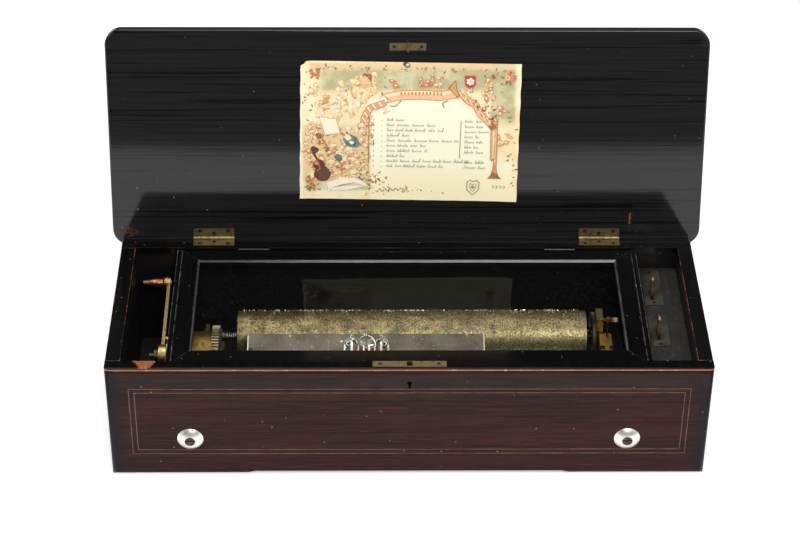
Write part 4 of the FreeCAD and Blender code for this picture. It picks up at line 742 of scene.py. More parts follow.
def softened(node, finish, body, width=0.6, edge=None, wanted=None, shortest=4.0):
    """A copy of a CAD node whose long outer edges are rounded by width; it replaces the node."""
    mesh = frame["nodes"][node].data.copy()
    mesh.materials.clear()
    mesh.materials.append(finish)
    mesh.materials.append(edge or finish)
    bm = bmesh.new()
    bm.from_mesh(mesh)
    bmesh.ops.remove_doubles(bm, verts=bm.verts, dist=MERGE)
    bmesh.ops.dissolve_limit(bm, angle_limit=FLAT, verts=bm.verts[:], edges=bm.edges[:])
    for face in bm.faces:
        face.material_index = 0
    sharp = []
    for e in bm.edges:
        if len(e.link_faces) != 2 or e.calc_length() < shortest * MM or not e.is_convex:
            continue
        if e.calc_face_angle() > SHARP and (wanted is None or wanted(e)):
            sharp.append(e)
    bmesh.ops.bevel(
        bm,
        geom=sharp,
        offset=width * MM,
        offset_type="OFFSET",
        segments=2,
        profile=0.6,
        affect="EDGES",
        clamp_overlap=True,
        material=1,
    )
    bm.to_mesh(mesh)
    bm.free()
    mesh.name = node + "_body"
    piece = place_piece(mesh.name, mesh, body, SMOOTH_BELOW)
    normals = piece.modifiers.new("normals", "WEIGHTED_NORMAL")
    normals.keep_sharp = True
    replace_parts(piece, node)


def ring_faces(rings, sides):
    """The faces of a skin over rings of points, closed at both ends."""
    faces = []
    for i in range(rings - 1):
        for k in range(sides):
            a = i * sides + k
            b = i * sides + (k + 1) % sides
            faces.append((a, b, b + sides, a + sides))
    last = (rings - 1) * sides
    return faces + [tuple(range(sides))[::-1], tuple(range(last, last + sides))]


def tube(shape, points, radius, finish, sides=6):
    """A round bar along points; radius may be one number or one for each point."""
    count = len(points)
    radii = [radius] * count if isinstance(radius, (int, float)) else radius
    rings = []
    normal = None
    for i, point in enumerate(points):
        ahead = points[min(i + 1, count - 1)] - points[max(i - 1, 0)]
        ahead.normalize()
        if normal is None:
            normal = ahead.orthogonal().normalized()
        normal = (normal - ahead * normal.dot(ahead)).normalized()
        side = ahead.cross(normal)
        for k in range(sides):
            turn = 2 * math.pi * k / sides
            rings.append(point + (normal * math.cos(turn) + side * math.sin(turn)) * radii[i] * MM)
    shape.add(rings, ring_faces(count, sides), finish)


def lathe(shape, profile, start, along, finish, steps=28):
    """Turns an outline of (distance, radius) pairs about the line from start along a direction."""
    along = along.normalized()
    side = along.orthogonal().normalized()
    other = along.cross(side)
    points = []
    for distance, radius in profile:
        for k in range(steps):
            turn = 2 * math.pi * k / steps
            out = side * math.cos(turn) + other * math.sin(turn)
            points.append(start + along * distance * MM + out * radius * MM)
    shape.add(points, ring_faces(len(profile), steps), finish)


def block(shape, corner, size, finish):
    """A plain bar from a low corner, for small parts of larger pieces."""
    x, y, z = corner
    w, d, h = size
    around = ((0, 0), (1, 0), (1, 1), (0, 1))
    points = [case_point(x + i * w, y + j * d, z + k * h) for k in (0, 1) for i, j in around]
    shape.add(points, ring_faces(2, 4), finish)


# ---- case ----


def along_front_top(e):
    """The long arris at the top of the outer front face."""
    a, b = [v.co for v in e.verts]
    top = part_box("front_board")[1].z - 0.5 * MM
    return min(a.z, b.z) > top and max(a.y, b.y) < FRONT_Y + 6.2 * MM


softened("front_board", ROSEWOOD, "case", 0.8, FRONT_EDGE, along_front_top, 1.0)
softened("back_board", CASE_BLACK, "case", 0.7, INSIDE_EDGE)
softened("left_side_board", CASE_BLACK_DEPTH, "case", 0.6, INSIDE_EDGE)
softened("right_side_board", CASE_BLACK_DEPTH, "case", 0.6, INSIDE_EDGE)
softened("partitions", CASE_BLACK_DEPTH, "case", 0.5, FRAME_EDGE)
softened("control_board", DUSTY_BOARD, "case", 0.3)
softened("glass_frame_long_rails", RAIL_BLACK, "glass_lid", 0.45, FRAME_EDGE)
softened("glass_frame_short_rails", RAIL_BLACK_DEPTH, "glass_lid", 0.45, FRAME_EDGE)


def front_stringing():
    """Two nested rectangles of line inlay, a hair proud of the front face."""
    shape = Shape()
    width, y, thick = 0.62, -0.05, 0.1
    for x0, x1, z0, z1 in ((-259, 260, 26, 105), (-254, 255, 31, 100.5)):
        for z in (z0, z1 - width):
            block(shape, (x0, y, z), (x1 - x0, thick, width), STRINGING)
        for x in (x0, x1 - width):
            block(shape, (x, y, z0 + width), (width, thick, z1 - z0 - 2 * width), STRINGING)
    shape.done("front_stringing", "case", "rosewood_grain")


front_stringing()


def front_arris():
    """The rubbed arris along the top of the front board, turning down at both corners."""
    low, high = node_box("front_board")
    y, z = 0.5, high.z - 0.42
    path = [(low.x + 0.6, y + 3.2, z - 0.1), (low.x + 1.6, y + 0.9, z)]
    path += [(low.x + 5 + (high.x - low.x - 10) * k / 60, y, z) for k in range(61)]
    path += [(high.x - 1.6, y + 0.9, z), (high.x - 0.6, y + 3.2, z - 0.1)]
    shape = Shape()
    radii = [0.3, 0.5] + [0.62 + 0.08 * math.sin(k * 1.7) for k in range(61)] + [0.5, 0.3]
    tube(shape, [case_point(*place) for place in path], radii, FRONT_EDGE, 8)
    shape.done("front_arris", "case", "rosewood_grain", 60)


front_arris()


# ---- cylinder pins ----

COMB_TEETH = 80
TUNES = 10
TUNE_STEP = 0.34
PIN_HEIGHT = 1.15
PIN_ROOT = -0.05
PIN_HALF_WIDTHS = (0.24, 0.34)
PINS_ON_TRACK = (3, 4, 5, 5, 6, 8)
BARE_DEGREES = 4  # no pins this near the cylinder's top line, where a tune ends


def cylinder_pins():
    """Short steel pins on every tune's track in front of each comb tooth, bright and dull in
    clusters as painted glints.
    """
    draw = random.Random(1880)
    tube_low, tube_high = node_box("cylinder_tube")
    comb_low, comb_high = node_box("comb")
    axis_y = (tube_low.y + tube_high.y) / 2
    axis_z = (tube_low.z + tube_high.z) / 2
    radius = (tube_high.z - tube_low.z) / 2
    pitch = (comb_high.x - comb_low.x) / COMB_TEETH
    shape = Shape()
    faces = [(0, 1, 5, 4), (1, 2, 6, 5), (2, 3, 7, 6), (3, 0, 4, 7), (4, 5, 6, 7)]
    for tooth in range(COMB_TEETH):
        for tune in range(TUNES):
            x = comb_low.x + (tooth + 0.5) * pitch + tune * TUNE_STEP
            if x > tube_high.x - 1:
                continue
            for _ in range(draw.choice(PINS_ON_TRACK)):
                angle = math.radians(draw.uniform(BARE_DEGREES, 360 - BARE_DEGREES))
                size = draw.uniform(*PIN_HALF_WIDTHS)
                points = []
                for rise, half in ((PIN_ROOT, size), (PIN_HEIGHT, size * 0.75)):
                    for i, j in ((-1, -1), (1, -1), (1, 1), (-1, 1)):
                        turn = angle + j * half / radius
                        r = radius + rise
                        z, y = polar(axis_z, axis_y, r, turn)
                        points.append(case_point(x + i * half, y, z))
                # painted glints: bright pins in clusters along the cylinder, dull ones between
                bright = draw.random() < 0.4 + 0.3 * math.sin(x * 0.19)
                shape.add(points, faces, PIN_GLINT if bright else PIN_NO_GLINT)
    shape.done("cylinder_pins", "cylinder", "steel", 20)


cylinder_pins()


# ---- air brake ----


def twisted_fly():
    """Two thin copper blades, each twisted from its root to its tip."""
    fly_low, fly_high = node_box("fly")
    centre = (fly_low + fly_high) / 2
    half_height = (fly_high.z - fly_low.z) / 2
    reach = (fly_high.x - fly_low.x) / 2
    thick = 0.3
    shape = Shape()
    hub = [(0, 1.3), (0, 2.1), (0.5, 2.2), (4.1, 2.2), (4.6, 2.0), (4.6, 1.2)]
    foot = case_point(centre.x, centre.y, fly_low.z)
    lathe(shape, hub, foot, Vector((0, 0, 1)), COPPER, 20)
    steps = 9
    for side in (-1, 1):
        points = []
        for i in range(steps):
            t = i / (steps - 1)
            x = centre.x + side * (1.8 + (reach - 1.8) * t)
            turn = math.radians(side * (14 + 44 * t))
            tall = half_height * (0.86 + 0.1 * math.sin(math.pi * t))
            for across, flat in ((-1, -1), (1, -1), (1, 1), (-1, 1)):
                z, y = swung(centre.z, centre.y, across * tall, flat * thick / 2, turn)
                points.append(case_point(x, y, z))
        shape.add(points, ring_faces(steps, 4), COPPER)
    piece = shape.done("fly_ribbon", "air_brake", "aged_brass", 50)
    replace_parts(piece, "fly")


twisted_fly()


# ---- shift spring ----


def shift_spring():
    """The coil between the cylinder and its wheel, built at one length; the real one shortens as
    the cylinder slides over it.
    """
    low, high = node_box("shift_spring")
    centre = (low + high) / 2
    length = high.x - low.x
    wire, pitch, steps_in_turn = 0.5, 2.1, 20
    coil = (high.z - low.z) / 2 - wire
    turns = (length - 2 * wire) / pitch
    steps = round(turns * steps_in_turn)
    path = []
    for i in range(steps + 1):
        turn = 2 * math.pi * turns * i / steps
        x = low.x + wire + (length - 2 * wire) * i / steps
        z, y = polar(centre.z, centre.y, coil, turn)
        path.append(case_point(x, y, z))
    shape = Shape()
    tube(shape, path, wire, BRIGHT_STEEL, 8)
    piece = shape.done("shift_spring_coil", "cylinder_shaft", "steel", 60)
    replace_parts(piece, "shift_spring")
    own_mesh(piece)


shift_spring()


# ---- zither ornament ----

PIVOT_Y, PIVOT_Z = 50.0, 90.0
SHEET_BACK_Y, SHEET_BACK_Z = 83.0, 104.0
SLOPE = math.atan2(SHEET_BACK_Z - PIVOT_Z, SHEET_BACK_Y - PIVOT_Y)
CREST_FOOT = 8.0
CREST_STRETCH = 1.25


def on_crest(x, run, rise):
    """A point over the zither's sloping sheet: run up the slope, rise square to it.

    The run is drawn out above the crest's foot to the full height of its casting.
    """
    run = CREST_FOOT + (run - CREST_FOOT) * CREST_STRETCH
    return case_point(x, *swung(PIVOT_Y, PIVOT_Z, run, rise, SLOPE))


def spiral(cx, cy, radius, turns, start, way, rise):
    points = []
    steps = int(14 * turns) + 2
    for i in range(steps):
        t = i / (steps - 1)
        a = start + way * 2 * math.pi * turns * t
        points.append(on_crest(*polar(cx, cy, radius * (1 - 0.78 * t), a), rise))
    return points


def plate(shape, outline, low, high, finish=ORNAMENT_NICKEL):
    """A flat plate over an outline of (x, run) points."""
    points = [on_crest(x, run, rise) for rise in (low, high) for x, run in outline]
    shape.add(points, ring_faces(2, len(outline)), finish)


def upright(shape, x, foot, top, half_foot, half_top, low, high, finish=ORNAMENT_NICKEL):
    """A flat bar that stands up the slope and tapers from its foot."""
    corners = ((-half_foot, foot), (half_foot, foot), (half_top, top), (-half_top, top))
    plate(shape, [(x + dx, run) for dx, run in corners], low, high, finish)


def zither_ornament():
    """A cast crest: five bars over felt, a domed centre with a fan and a scroll at each side."""
    box_low, box_high = node_box("zither_ornament")
    cx = (box_low.x + box_high.x) / 2
    half = (box_high.x - box_low.x) / 2
    shape = Shape()
    upright(shape, cx, 8, 10, half, half, 0.8, 2.2)
    for k in (-1.5, -0.5, 0.5, 1.5):
        upright(shape, cx + k * 5.2, 9.5, 19, 0.8, 0.55, 0.9, 2.1)

    def rod(points, radius, sides=6):
        tube(shape, points, radius, ORNAMENT_NICKEL, sides)

    for side in (-1, 1):
        upright(shape, cx + side * (half - 7.6), 9.5, 22.5, 1.3, 0.9, 0.8, 2.3)
        upright(shape, cx + side * (half - 0.9), 9.5, 20, 0.9, 0.7, 0.8, 2.2)
        sx = cx + side * (half - 4.4)
        start = 0.0 if side > 0 else math.pi
        rod(spiral(sx, 21.4, 4.1, 1.6, start - side * 1.2, side, 1.6), 0.62)
        rod(spiral(sx - side * 3.4, 26.6, 2.2, 1.2, start + math.pi, -side, 1.7), 0.5)
        plate(shape, [polar(sx, 25.4, 2.6, k * 0.785) for k in range(8)], 0.9, 1.4, DARK_NICKEL)
        rod(spiral(cx + side * 4.4, 22.6, 2.2, 1.4, 0, side, 2.4), 0.42, 5)
        leaf = ((0.4, 27.2), (2.4, 29.4), (3.4, 30.2))
        rod([on_crest(cx + side * dx, run, 2.1) for dx, run in leaf], [0.9, 0.8, 0.2])
        swag = ((8.4, 21.5), (10.2, 24.2), (12.6, 24.6), (14.2, 23.4))
        rod([on_crest(cx + side * dx, run, 2.0) for dx, run in swag], [0.9, 1.1, 1.0, 0.5])
    belly = [(cx - 8.4, 18.2)]
    for i in range(13):
        a = math.pi * (1 - i / 12)
        belly.append((cx + 8.4 * math.cos(a), 20.0 + 7.4 * math.sin(a)))
    belly += [(cx + 8.4, 18.2), (cx + 4.5, 16.6), (cx - 4.5, 16.6)]
    plate(shape, belly, 0.9, 1.7, DARK_NICKEL)
    turns = [math.pi * (1.06 - 1.12 * i / 18) for i in range(19)]
    rod([on_crest(cx + 8.6 * math.cos(a), 19.4 + 8.2 * math.sin(a), 2.1) for a in turns], 0.8)
    for k in range(7):
        a = math.radians(18 + k * 24)
        rod([on_crest(*polar(cx, 18.0, r, a), 2.2) for r in (2.0, 4.6, 7.2)], [0.5, 1.05, 0.7])
    rod([on_crest(cx, run, 2.1) for run in (26.6, 29.0, 31.5, 33.4)], [1.7, 1.5, 0.9, 0.25], 8)
    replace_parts(shape.done("zither_crest", "zither", "nickel", 50), "zither_ornament")
    cloth = Shape()
    upright(cloth, cx, 8.4, 18.4, 10.5, 10.5, 0.05, 0.75, FELT)
    cloth.done("ornament_felt", "zither", "tissue")


zither_ornament()


# ---- tune card ----

CARD_X = 3.4
CARD_TOP_Y = 24.8
CARD_TURN = math.radians(0.95)
CARD_W = 213.0
CARD_H = 141.0
CARD_T = 0.45
LID_FACE_Z = 127.58


def card_curl(u, v):
    """How far the sheet lifts off the lid, most at its lower right corner."""
    corner = max(0.0, 1 - math.hypot(u - CARD_W / 2, v - CARD_H) / 46.0)
    left = max(0.0, 1 - math.hypot(u + CARD_W / 2, v - CARD_H) / 30.0)
    side = max(0.0, (abs(u) - 80.0) / 26.5) * 0.25
    return 1.5 * corner * corner + 0.7 * left * left + side


def card_point(u, v, rise=0.0):
    """u runs right from the card's middle and v down from its top edge, as it is read."""
    x, y = swung(CARD_X, CARD_TOP_Y, u, v, CARD_TURN)
    return lid_point(x, y, LID_FACE_Z - card_curl(u, v) - rise)


def card_sheet():
    """The sheet of card, with a slightly uneven outline and one chipped corner."""
    columns, rows = 44, 30
    shape = Shape()
    front, back = [], []
    for j in range(rows + 1):
        for i in range(columns + 1):
            u = -CARD_W / 2 + CARD_W * i / columns
            v = CARD_H * j / rows
            chip = max(0.0, 6.0 - (u + CARD_W / 2) - v * 1.1)
            nick = 0.5 * math.sin(u * 0.31) * math.sin(v * 0.27)
            u += chip * 0.6
            v += chip * 0.5
            if i in (0, columns):
                u -= math.copysign(0.4 + nick * 0.5, u)
            if j in (0, rows):
                v -= math.copysign(0.3 + nick * 0.4, v - CARD_H / 2)
            front.append(card_point(u, v, CARD_T))
            back.append(card_point(u, v))
    count = len(front)
    faces = []
    wide = columns + 1
    for j in range(rows):
        for i in range(columns):
            a = j * wide + i
            faces.append((a, a + 1, a + 1 + wide, a + wide))
            faces.append((count + a, count + a + wide, count + a + 1 + wide, count + a + 1))
    rim = [j * wide for j in range(rows + 1)]
    rim += [rows * wide + i for i in range(1, columns + 1)]
    rim += [j * wide + columns for j in range(rows - 1, -1, -1)]
    rim += range(columns - 1, 0, -1)
    for a, b in zip(rim, rim[1:] + rim[:1]):
        faces.append((a, b, count + b, count + a))
    shape.add(front + back, faces, CARD_PAPER)
    piece = shape.done("tune_card_sheet", "lid", "card", 60)
    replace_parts(piece, "tune_card")


card_sheet()

INK_COLOURS = {
    "line": ((96, 90, 76), (124, 114, 94)),
    "sepia": ((146, 98, 62), (176, 124, 82)),
    "dark": ((92, 60, 44), (116, 80, 54)),
    "moss": ((150, 144, 100), (122, 120, 84)),
    "shade": ((100, 102, 76), (124, 118, 86)),
    "peach": ((250, 208, 156), (242, 190, 136)),
    "light": ((255, 236, 190), (250, 222, 170)),
    "cream": ((255, 248, 222), (252, 238, 204)),
    "tan": ((228, 172, 112), (206, 148, 92)),
    "rose": ((228, 150, 112), (206, 122, 92)),
    "orange": ((226, 146, 84), (204, 120, 68)),
    "ribbon": ((252, 204, 158), (244, 186, 136)),
    "blue": ((112, 146, 144), (88, 116, 118)),
    "red": ((206, 62, 60), (188, 50, 50)),
    "wood": ((124, 58, 46), (92, 40, 36)),
    "grey": ((146, 146, 138), (164, 162, 150)),
}
INK = {name: ink(name, *colours) for name, colours in INK_COLOURS.items()}
LAYER = 0.00025
WHOLE_TURN = 6.28


class Print:
    """Thin printed shapes on the card, each layer a little above the one before."""

    def __init__(self):
        self.shape = Shape()
        self.rise = CARD_T + 0.012
        self.draw = random.Random(421)

    def area(self, outline, ink_name, lift=LAYER):
        self.rise += lift
        points = [card_point(u, v, self.rise) for u, v in outline]
        self.shape.add(points, [tuple(range(len(points)))], INK[ink_name])

    def line(self, path, width, ink_name):
        """A stroke of one width, or of one width per point."""
        self.rise += LAYER
        count = len(path)
        widths = [width] * count if isinstance(width, (int, float)) else width
        points = []
        for i, (u, v) in enumerate(path):
            u0, v0 = path[max(i - 1, 0)]
            u1, v1 = path[min(i + 1, count - 1)]
            length = math.hypot(u1 - u0, v1 - v0) or 1.0
            nu, nv = -(v1 - v0) / length, (u1 - u0) / length
            for side in (-0.5, 0.5):
                reach = widths[i] * side
                points.append(card_point(u + nu * reach, v + nv * reach, self.rise))
        faces = [(2 * i, 2 * i + 1, 2 * i + 3, 2 * i + 2) for i in range(count - 1)]
        self.shape.add(points, faces, INK[ink_name])

    def blob(self, u, v, size, ink_name, long=1.0, turn=0.0, wobble=0.12, steps=12):
        ring = []
        for k in range(steps):
            a = 2 * math.pi * k / steps
            r = size * (1 + self.draw.uniform(-wobble, wobble))
            ring.append(swung(u, v, r * long * math.cos(a), r * math.sin(a), turn))
        self.area(ring, ink_name)

    def flower(self, u, v, size, petal, heart, petals=5):
        start = self.draw.uniform(0, WHOLE_TURN)
        for k in range(petals):
            a = start + 2 * math.pi * k / petals
            self.blob(*polar(u, v, size * 0.62, a), size * 0.42, petal, 1.35, a, 0.1, 9)
        self.blob(u, v, size * 0.3, heart, steps=8)

    def leaf(self, u, v, length, turn, ink_name):
        ring = []
        for i in range(8):
            t = 1 - abs(4 - i) / 4
            side = 1 if i <= 4 else -1
            w = side * length * 0.2 * math.sin(math.pi * t)
            ring.append(swung(u, v, length * t, w, turn))
        self.area(ring, ink_name)

    def curve(self, path, width, ink_name):
        """A stroke along a smooth path through the points."""
        self.line(bent(path), width, ink_name)


def bent(points, steps=8):
    """A smooth path through points (Catmull-Rom)."""
    path = []
    last = len(points) - 1
    for i in range(last):
        p0 = points[max(i - 1, 0)]
        p1, p2 = points[i], points[i + 1]
        p3 = points[min(i + 2, last)]
        for k in range(steps):
            t = k / steps
            weights = (
                -t + 2 * t * t - t**3,
                2 - 5 * t * t + 3 * t**3,
                t + 4 * t * t - 3 * t**3,
                t**3 - t * t,
            )
            near = tuple(zip(p0, p1, p2, p3))
            path.append(tuple(sum(w * c for w, c in zip(weights, axis)) / 2 for axis in near))
    path.append(tuple(points[-1]))
    return path


SHADED = {
    "light": "peach",
    "cream": "light",
    "peach": "tan",
    "tan": "rose",
    "rose": "tan",
    "orange": "rose",
}
FRUIT_ZONES = (
    # u range, v range, count, smallest, largest, colours, outline
    (-98, -64, 24, 56, 26, 2.4, 5.0, ("light", "light", "cream"), "tan"),
    (-56, -34, 14, 44, 20, 2.4, 5.0, ("light", "light", "peach"), "tan"),
    (-66, -40, 44, 70, 16, 2.4, 5.0, ("light", "cream", "light"), "tan"),
    (-102, -68, 64, 120, 64, 1.6, 4.2, ("peach", "light", "peach", "light", "tan"), "sepia"),
    (-70, -40, 82, 122, 54, 1.6, 4.2, ("light", "peach", "cream", "light"), "sepia"),
    (-48, -38, 58, 84, 16, 1.8, 3.6, ("peach", "rose", "light"), "sepia"),
    (8, 29, 13, 24, 14, 1.6, 3.0, ("tan", "peach", "rose"), "sepia"),
    (-18, -11, 17, 25, 4, 2.0, 3.2, ("orange", "peach"), "tan"),
    (70, 81, 12, 36, 12, 1.8, 3.2, ("peach", "tan", "light"), "sepia"),
    (70, 92, 42, 58, 12, 1.6, 3.0, ("tan", "orange", "peach"), "dark"),
    (80, 100, 62, 82, 12, 1.6, 3.0, ("light", "peach", "tan"), "tan"),
)
# middle u, middle v, reach
ROSE_ZONES = ((-92, 13, 6), (94, 14, 8), (-95, 126, 7), (-84, 84, 5), (-66, 106, 5))
LEAF_ZONES = (
    # u range, v range, count, colours
    (-50, -30, 110, 128, 26, ("dark", "sepia", "moss")),
    (-100, -16, 122, 134, 30, ("moss", "tan", "moss")),
    (-40, -22, 112, 128, 22, ("dark", "sepia", "sepia")),
    (-18, 34, 128, 133, 8, ("tan", "tan", "sepia")),
    (96, 103, 42, 124, 20, ("sepia", "moss", "dark")),
    (-104, -94, 24, 62, 14, ("moss", "sepia", "moss")),
    (-84, -56, 74, 82, 16, ("shade", "moss", "shade")),
    (-70, -44, 92, 106, 12, ("dark", "shade", "sepia")),
    (-100, -44, 62, 120, 54, ("dark", "sepia", "rose")),
    (-92, 92, 5.5, 9, 60, ("sepia", "moss", "tan", "moss")),
    (-104, 104, 12, 34, 26, ("moss", "moss", "sepia")),
)


def print_fruit(p, u, v, size, skin, outline):
    """A small soft rounded form with a thin uneven outline, a shaded side and a lit side."""
    turn = p.draw.uniform(0, 3.1)
    long = p.draw.uniform(1.1, 1.9)
    p.blob(u, v, size * 0.8 + 0.16, outline, long, turn, 0.14)
    p.blob(u, v, size * 0.8, skin, long, turn, 0.14)
    p.blob(u + size * 0.25, v + size * 0.3, size * 0.36, SHADED[skin], 1.6, turn)
    p.blob(u - size * 0.2, v - size * 0.24, size * 0.36, "light", 1.5, turn)
    bow = [(u - size * 0.7, v + size * 0.1), (u, v + size * 0.6), (u + size * 0.8, v - size * 0.1)]
    p.line(bent(bow, 3), 0.26, outline)


def print_garland(p):
    """Fruit, roses and leaves down the left side and round the corners, in soft print colours."""
    draw = p.draw
    for u0, u1, v0, v1, count, colours in LEAF_ZONES:
        for _ in range(count):
            place = (draw.uniform(u0, u1), draw.uniform(v0, v1))
            length, turn = draw.uniform(1.8, 4.4), draw.uniform(0, WHOLE_TURN)
            p.leaf(*place, length, turn, draw.choice(colours))
    for u0, u1, v0, v1, count, small, large, colours, outline in FRUIT_ZONES:
        for _ in range(count):
            place = (draw.uniform(u0, u1), draw.uniform(v0, v1))
            print_fruit(p, *place, draw.uniform(small, large), draw.choice(colours), outline)
    for cu, cv, reach in ROSE_ZONES:
        for _ in range(6):
            a = draw.uniform(0, WHOLE_TURN)
            p.leaf(*polar(cu, cv, 2, a), reach * 0.8, a, draw.choice(("moss", "sepia")))
        for _ in range(6):
            place = (cu + draw.uniform(-0.7, 0.7) * reach, cv + draw.uniform(-0.7, 0.7) * reach)
            p.flower(*place, reach * 0.32, draw.choice(("rose", "orange", "peach")), "dark")


WAVE = 0.55
FIRST_ENTRY, ENTRY_PITCH = 58.6, 5.25


def wavy_hand(p, u, v, length):
    """A row of plain joined-up waves in place of writing, broken into runs."""
    draw = p.draw
    end = u + length
    while u < end:
        run = min(draw.uniform(6, 13), end - u)
        path = []
        for k in range(int(run / WAVE)):
            tall = draw.uniform(0.6, 1.0) * (2.0 if k < 2 or draw.random() < 0.14 else 0.95)
            path.append((u + WAVE * k + 0.25 * (k % 2), v + (0.8 - tall * (k % 2) * 2.0)))
        if len(path) > 2:
            p.line(path, [0.62 if k % 2 else 0.44 for k in range(len(path))], "line")
        u += run + draw.uniform(1.6, 2.8)


def print_field(p):
    """The blank field with its ruled ledger; the entries are plain wavy strokes."""
    arch = [(-37, 124), (-40, 100), (-39, 56), (-34, 50), (-24, 44), (-18, 38), (0, 35), (30, 35)]
    arch += [(50, 36), (58, 42), (66, 49), (74, 56)]
    p.curve(arch, 0.35, "tan")
    p.line([(-39.6, 55.3), (-39.4, 80), (-39.2, 102.6)], 0.6, "line")
    p.line([(49.6, 58.2), (49.3, 78), (49.0, 97)], 0.6, "line")
    lengths = (18, 49, 55, 24, 70, 38, 40, 18, 80, 56)
    tails = (17, 18, 24, 14, 18, 14, 20, 0, 22, 22)
    for row in range(TUNES):
        v = FIRST_ENTRY + row * ENTRY_PITCH
        p.line([(-35.2, v - 1.2), (-34.6, v - 0.2), (-35.0, v + 0.9)], 0.5, "line")
        p.line([(-27.6, v + 0.5), (-26.6, v + 0.4)], 0.5, "line")
        wavy_hand(p, -22.0, v, lengths[row])
        wavy_hand(p, 53.5, v + 0.6, tails[row])


def print_banner(p):
    """A ribbon across the top with striped, folded ends and tails, left blank."""
    middle = bent([(-27, 37.4), (-10, 33.4), (10, 32.4), (30, 33), (46, 29.4)], 8)
    p.line(middle, 9.6, "sepia")
    p.line(middle, 8.8, "ribbon")
    p.line([(u, v - 2.2) for u, v in middle[2:-4]], 3.0, "light")
    for k in range(12):
        u, v = -9 + k * 3.5, 31.6 - 0.6 * math.sin(k * 0.26)
        p.area([(u, v - 2.3), (u + 1.1, v), (u, v + 2.3), (u - 1.1, v)], "orange")
    p.blob(-26, 38, 3.8, "sepia", 1.2, 0.4)
    p.blob(-26, 38, 3.3, "cream", 1.2, 0.4)
    p.area([(36, 25), (43.4, 17), (45, 27), (48, 33), (44, 34)], "sepia")
    p.area([(37.4, 25.2), (43, 18.6), (44.2, 27), (46.6, 32.4), (43.6, 33)], "tan", 0.02)
    left = bent([(-24, 41), (-32, 44), (-39, 47), (-43, 54), (-45, 60)])
    right = bent([(50, 31), (56, 38), (63, 42), (68, 51), (75, 58), (82, 66)])
    for tail in (left, right):
        p.line(tail, 6.6, "sepia")
        p.line(tail, 5.6, "ribbon")
        for k in range(1, len(tail) - 1, 2):
            u, v = tail[k]
            stripe = ("orange", "rose", "cream")[k // 2 % 3]
            p.line([(u - 1.6, v - 2.2), (u + 1.4, v + 2.2)], 0.9, stripe)
    p.curve([(-20, 44), (-14, 44), (-9, 38.5)], 0.8, "sepia")
    p.curve([(-19, 49), (-26, 52), (-23, 48), (-28, 46)], 0.6, "tan")
    p.curve([(36, 38), (31, 41), (33, 45)], 0.8, "sepia")
    for k in range(44):
        t = p.draw.random()
        u, v = 48 + 38 * t + p.draw.uniform(-4, 4), 28 + 34 * t + p.draw.uniform(-5, 3)
        length, turn = p.draw.uniform(1.6, 3.4), p.draw.uniform(0, WHOLE_TURN)
        p.leaf(u, v, length, turn, ("orange", "sepia", "dark", "peach")[k % 4])


def print_trumpet(p):
    """A long straight trumpet hanging from the ribbon."""
    p.line([(79.3, 64), (79.8, 97)], 2.2, "tan")
    p.line([(79.3, 64), (79.8, 97)], 1.3, "cream")
    p.curve([(79.4, 96.4), (80.4, 98.4), (82.0, 96.6)], 0.9, "sepia")
    path = [(84.0, 60), (84.2, 74), (84.0, 96), (83.6, 106), (83.4, 112)]
    p.line(path, [2.4, 2.8, 3.0, 3.8, 6.0], "sepia")
    p.line(path, [1.6, 2.0, 2.2, 3.0, 5.0], "tan")
    p.line([(83.6, 66), (83.6, 104)], 0.6, "light")
    p.area([(81, 110), (86, 110), (87.6, 114), (90.4, 117), (76.6, 117), (79.6, 114)], "sepia")
    p.area([(81.8, 110), (85, 110), (86.6, 114), (88.6, 116), (78.6, 116), (80.6, 114)], "orange")


def print_cello(p):
    """A small cello that leans to the left."""
    for size, shift, colour in ((1.1, 0.0, "dark"), (1.0, 0.0, "wood"), (0.45, -2.2, "rose")):
        p.blob(-84.2 + shift, 114.6 + shift, 7.2 * size, colour, 1.05, 0.5, 0.05, 16)
        p.blob(-87.6 + shift, 105.6 + shift, 5.2 * size, colour, 1.05, 0.5, 0.05, 14)
    p.curve([(-88, 103), (-91, 97), (-94, 92)], 2.2, "wood")
    p.line([(-89.6, 100), (-83, 119)], 0.6, "tan")


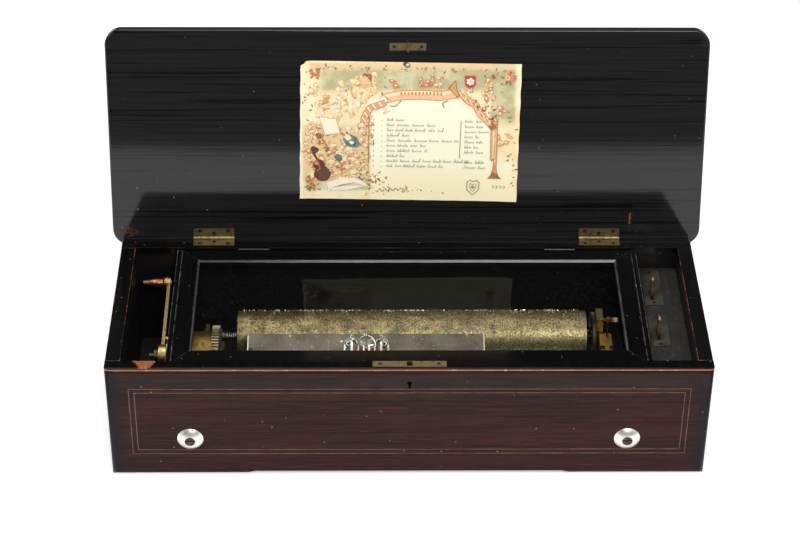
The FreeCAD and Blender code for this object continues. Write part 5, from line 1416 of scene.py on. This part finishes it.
def print_details(p):
    """Sheet music, a blue drape, a small plain shield, a line shield, a flourish and a painted
    shadow by the tack.
    """
    p.area([(-88, 56), (-71, 58), (-67, 73), (-82, 75)], "tan")
    p.area([(-87.4, 56.6), (-71.6, 58.5), (-67.8, 72.5), (-81.6, 74.3)], "cream", 0.04)
    for k in range(5):
        p.line([(-84 + k * 0.9, 60 + k * 2.7), (-71.6 + k * 0.8, 61 + k * 2.6)], 0.35, "line")
    drape = (
        (-57, 80, 5.6, "shade"), (-57.4, 79.6, 5.0, "blue"), (-53, 83, 4.2, "blue"),
        (-60, 77, 3.0, "light"), (-56, 82, 1.8, "cream"), (-69, 98, 3.2, "shade"),
        (-68, 96.6, 2.4, "blue"), (-42, 16, 4.4, "sepia"), (-44, 19, 3.8, "peach"),
        (-92, 90, 3.4, "dark"), (-88, 76, 3.0, "sepia"), (-62, 58, 3.6, "light"),
    )
    for u, v, size, colour in drape:
        p.blob(u, v, size, colour, 1.25, 0.5, 0.22, 12)
    p.area([(-80, 124), (-64, 118), (-48, 120), (-40, 126), (-60, 131), (-78, 131)], "cream")
    for k in range(4):
        fold = [(-76 + k * 3, 129 - k), (-60 + k * 2, 126.5 - k), (-43 - k * 3, 126 - k)]
        p.curve(fold, 0.35, "sepia")
    shield = [(-5.8, -6.6), (5.8, -6.6), (5.6, 3.2), (2.8, 6.2)]
    shield += [(0, 7.0), (-2.8, 6.2), (-5.6, 3.2)]
    for size, colour in ((1.0, "rose"), (0.88, "red")):
        p.area([(57.2 + du * size, 18.6 + dv * size) for du, dv in shield], colour, 0.02)
    p.flower(57.2, 18.4, 3.4, "cream", "rose", 6)
    outer = [(57, 121), (60, 119), (63, 120.4), (66, 119), (69, 121), (68.6, 129), (63, 134)]
    outer += [(57.4, 129), (57, 121)]
    p.line(outer, 1.0, "grey")
    inner = [(60, 122.5), (63, 123.4), (66, 122.5), (65.6, 128), (63, 130.6), (60.4, 128)]
    p.line(inner + inner[:1], 0.6, "grey")
    p.blob(63, 126, 1.8, "grey", 1.0, 0.0, 0.1, 10)
    loops = []
    for k in range(56):
        t = k / 55
        loops.append((-32 + 30 * t, 131 - 2.0 * t + 1.7 * math.sin(t * 36) * (1 - 0.3 * t)))
    p.line(loops, [0.4 + 0.5 * math.sin(k * 0.6) ** 2 for k in range(56)], "sepia")
    p.curve([(-3, 125.4), (-1, 129), (-5, 132.6)], 0.6, "sepia")
    for k in range(4):
        u = 81.6 + k * 3.6
        p.curve([(u, 124), (u + 1.8, 125.4), (u + 0.4, 127.2)], 0.5, "line")
    # painted shadow of the tack, up and to the left of it
    p.blob(-4.6, 2.4, 2.6, "dark", 1.2, 0.3)


def print_card():
    p = Print()
    print_garland(p)
    print_field(p)
    print_details(p)
    print_cello(p)
    print_trumpet(p)
    print_banner(p)
    p.shape.done("tune_card_print", "lid", "card", 60)


print_card()


# ---- floor ----


def make_floor():
    """A pale floor that ends in front of the case, so the lid's polish mirrors its far half."""
    mesh = bpy.data.meshes.new("floor")
    x, y0, y1, z = 3.4, -1.02, 3.4, -0.0004
    mesh.from_pydata([(-x, y0, z), (x, y0, z), (x, y1, z), (-x, y1, z)], [], [(0, 1, 2, 3)])
    mesh.materials.append(wall_white())
    new_object("floor", mesh)


make_floor()
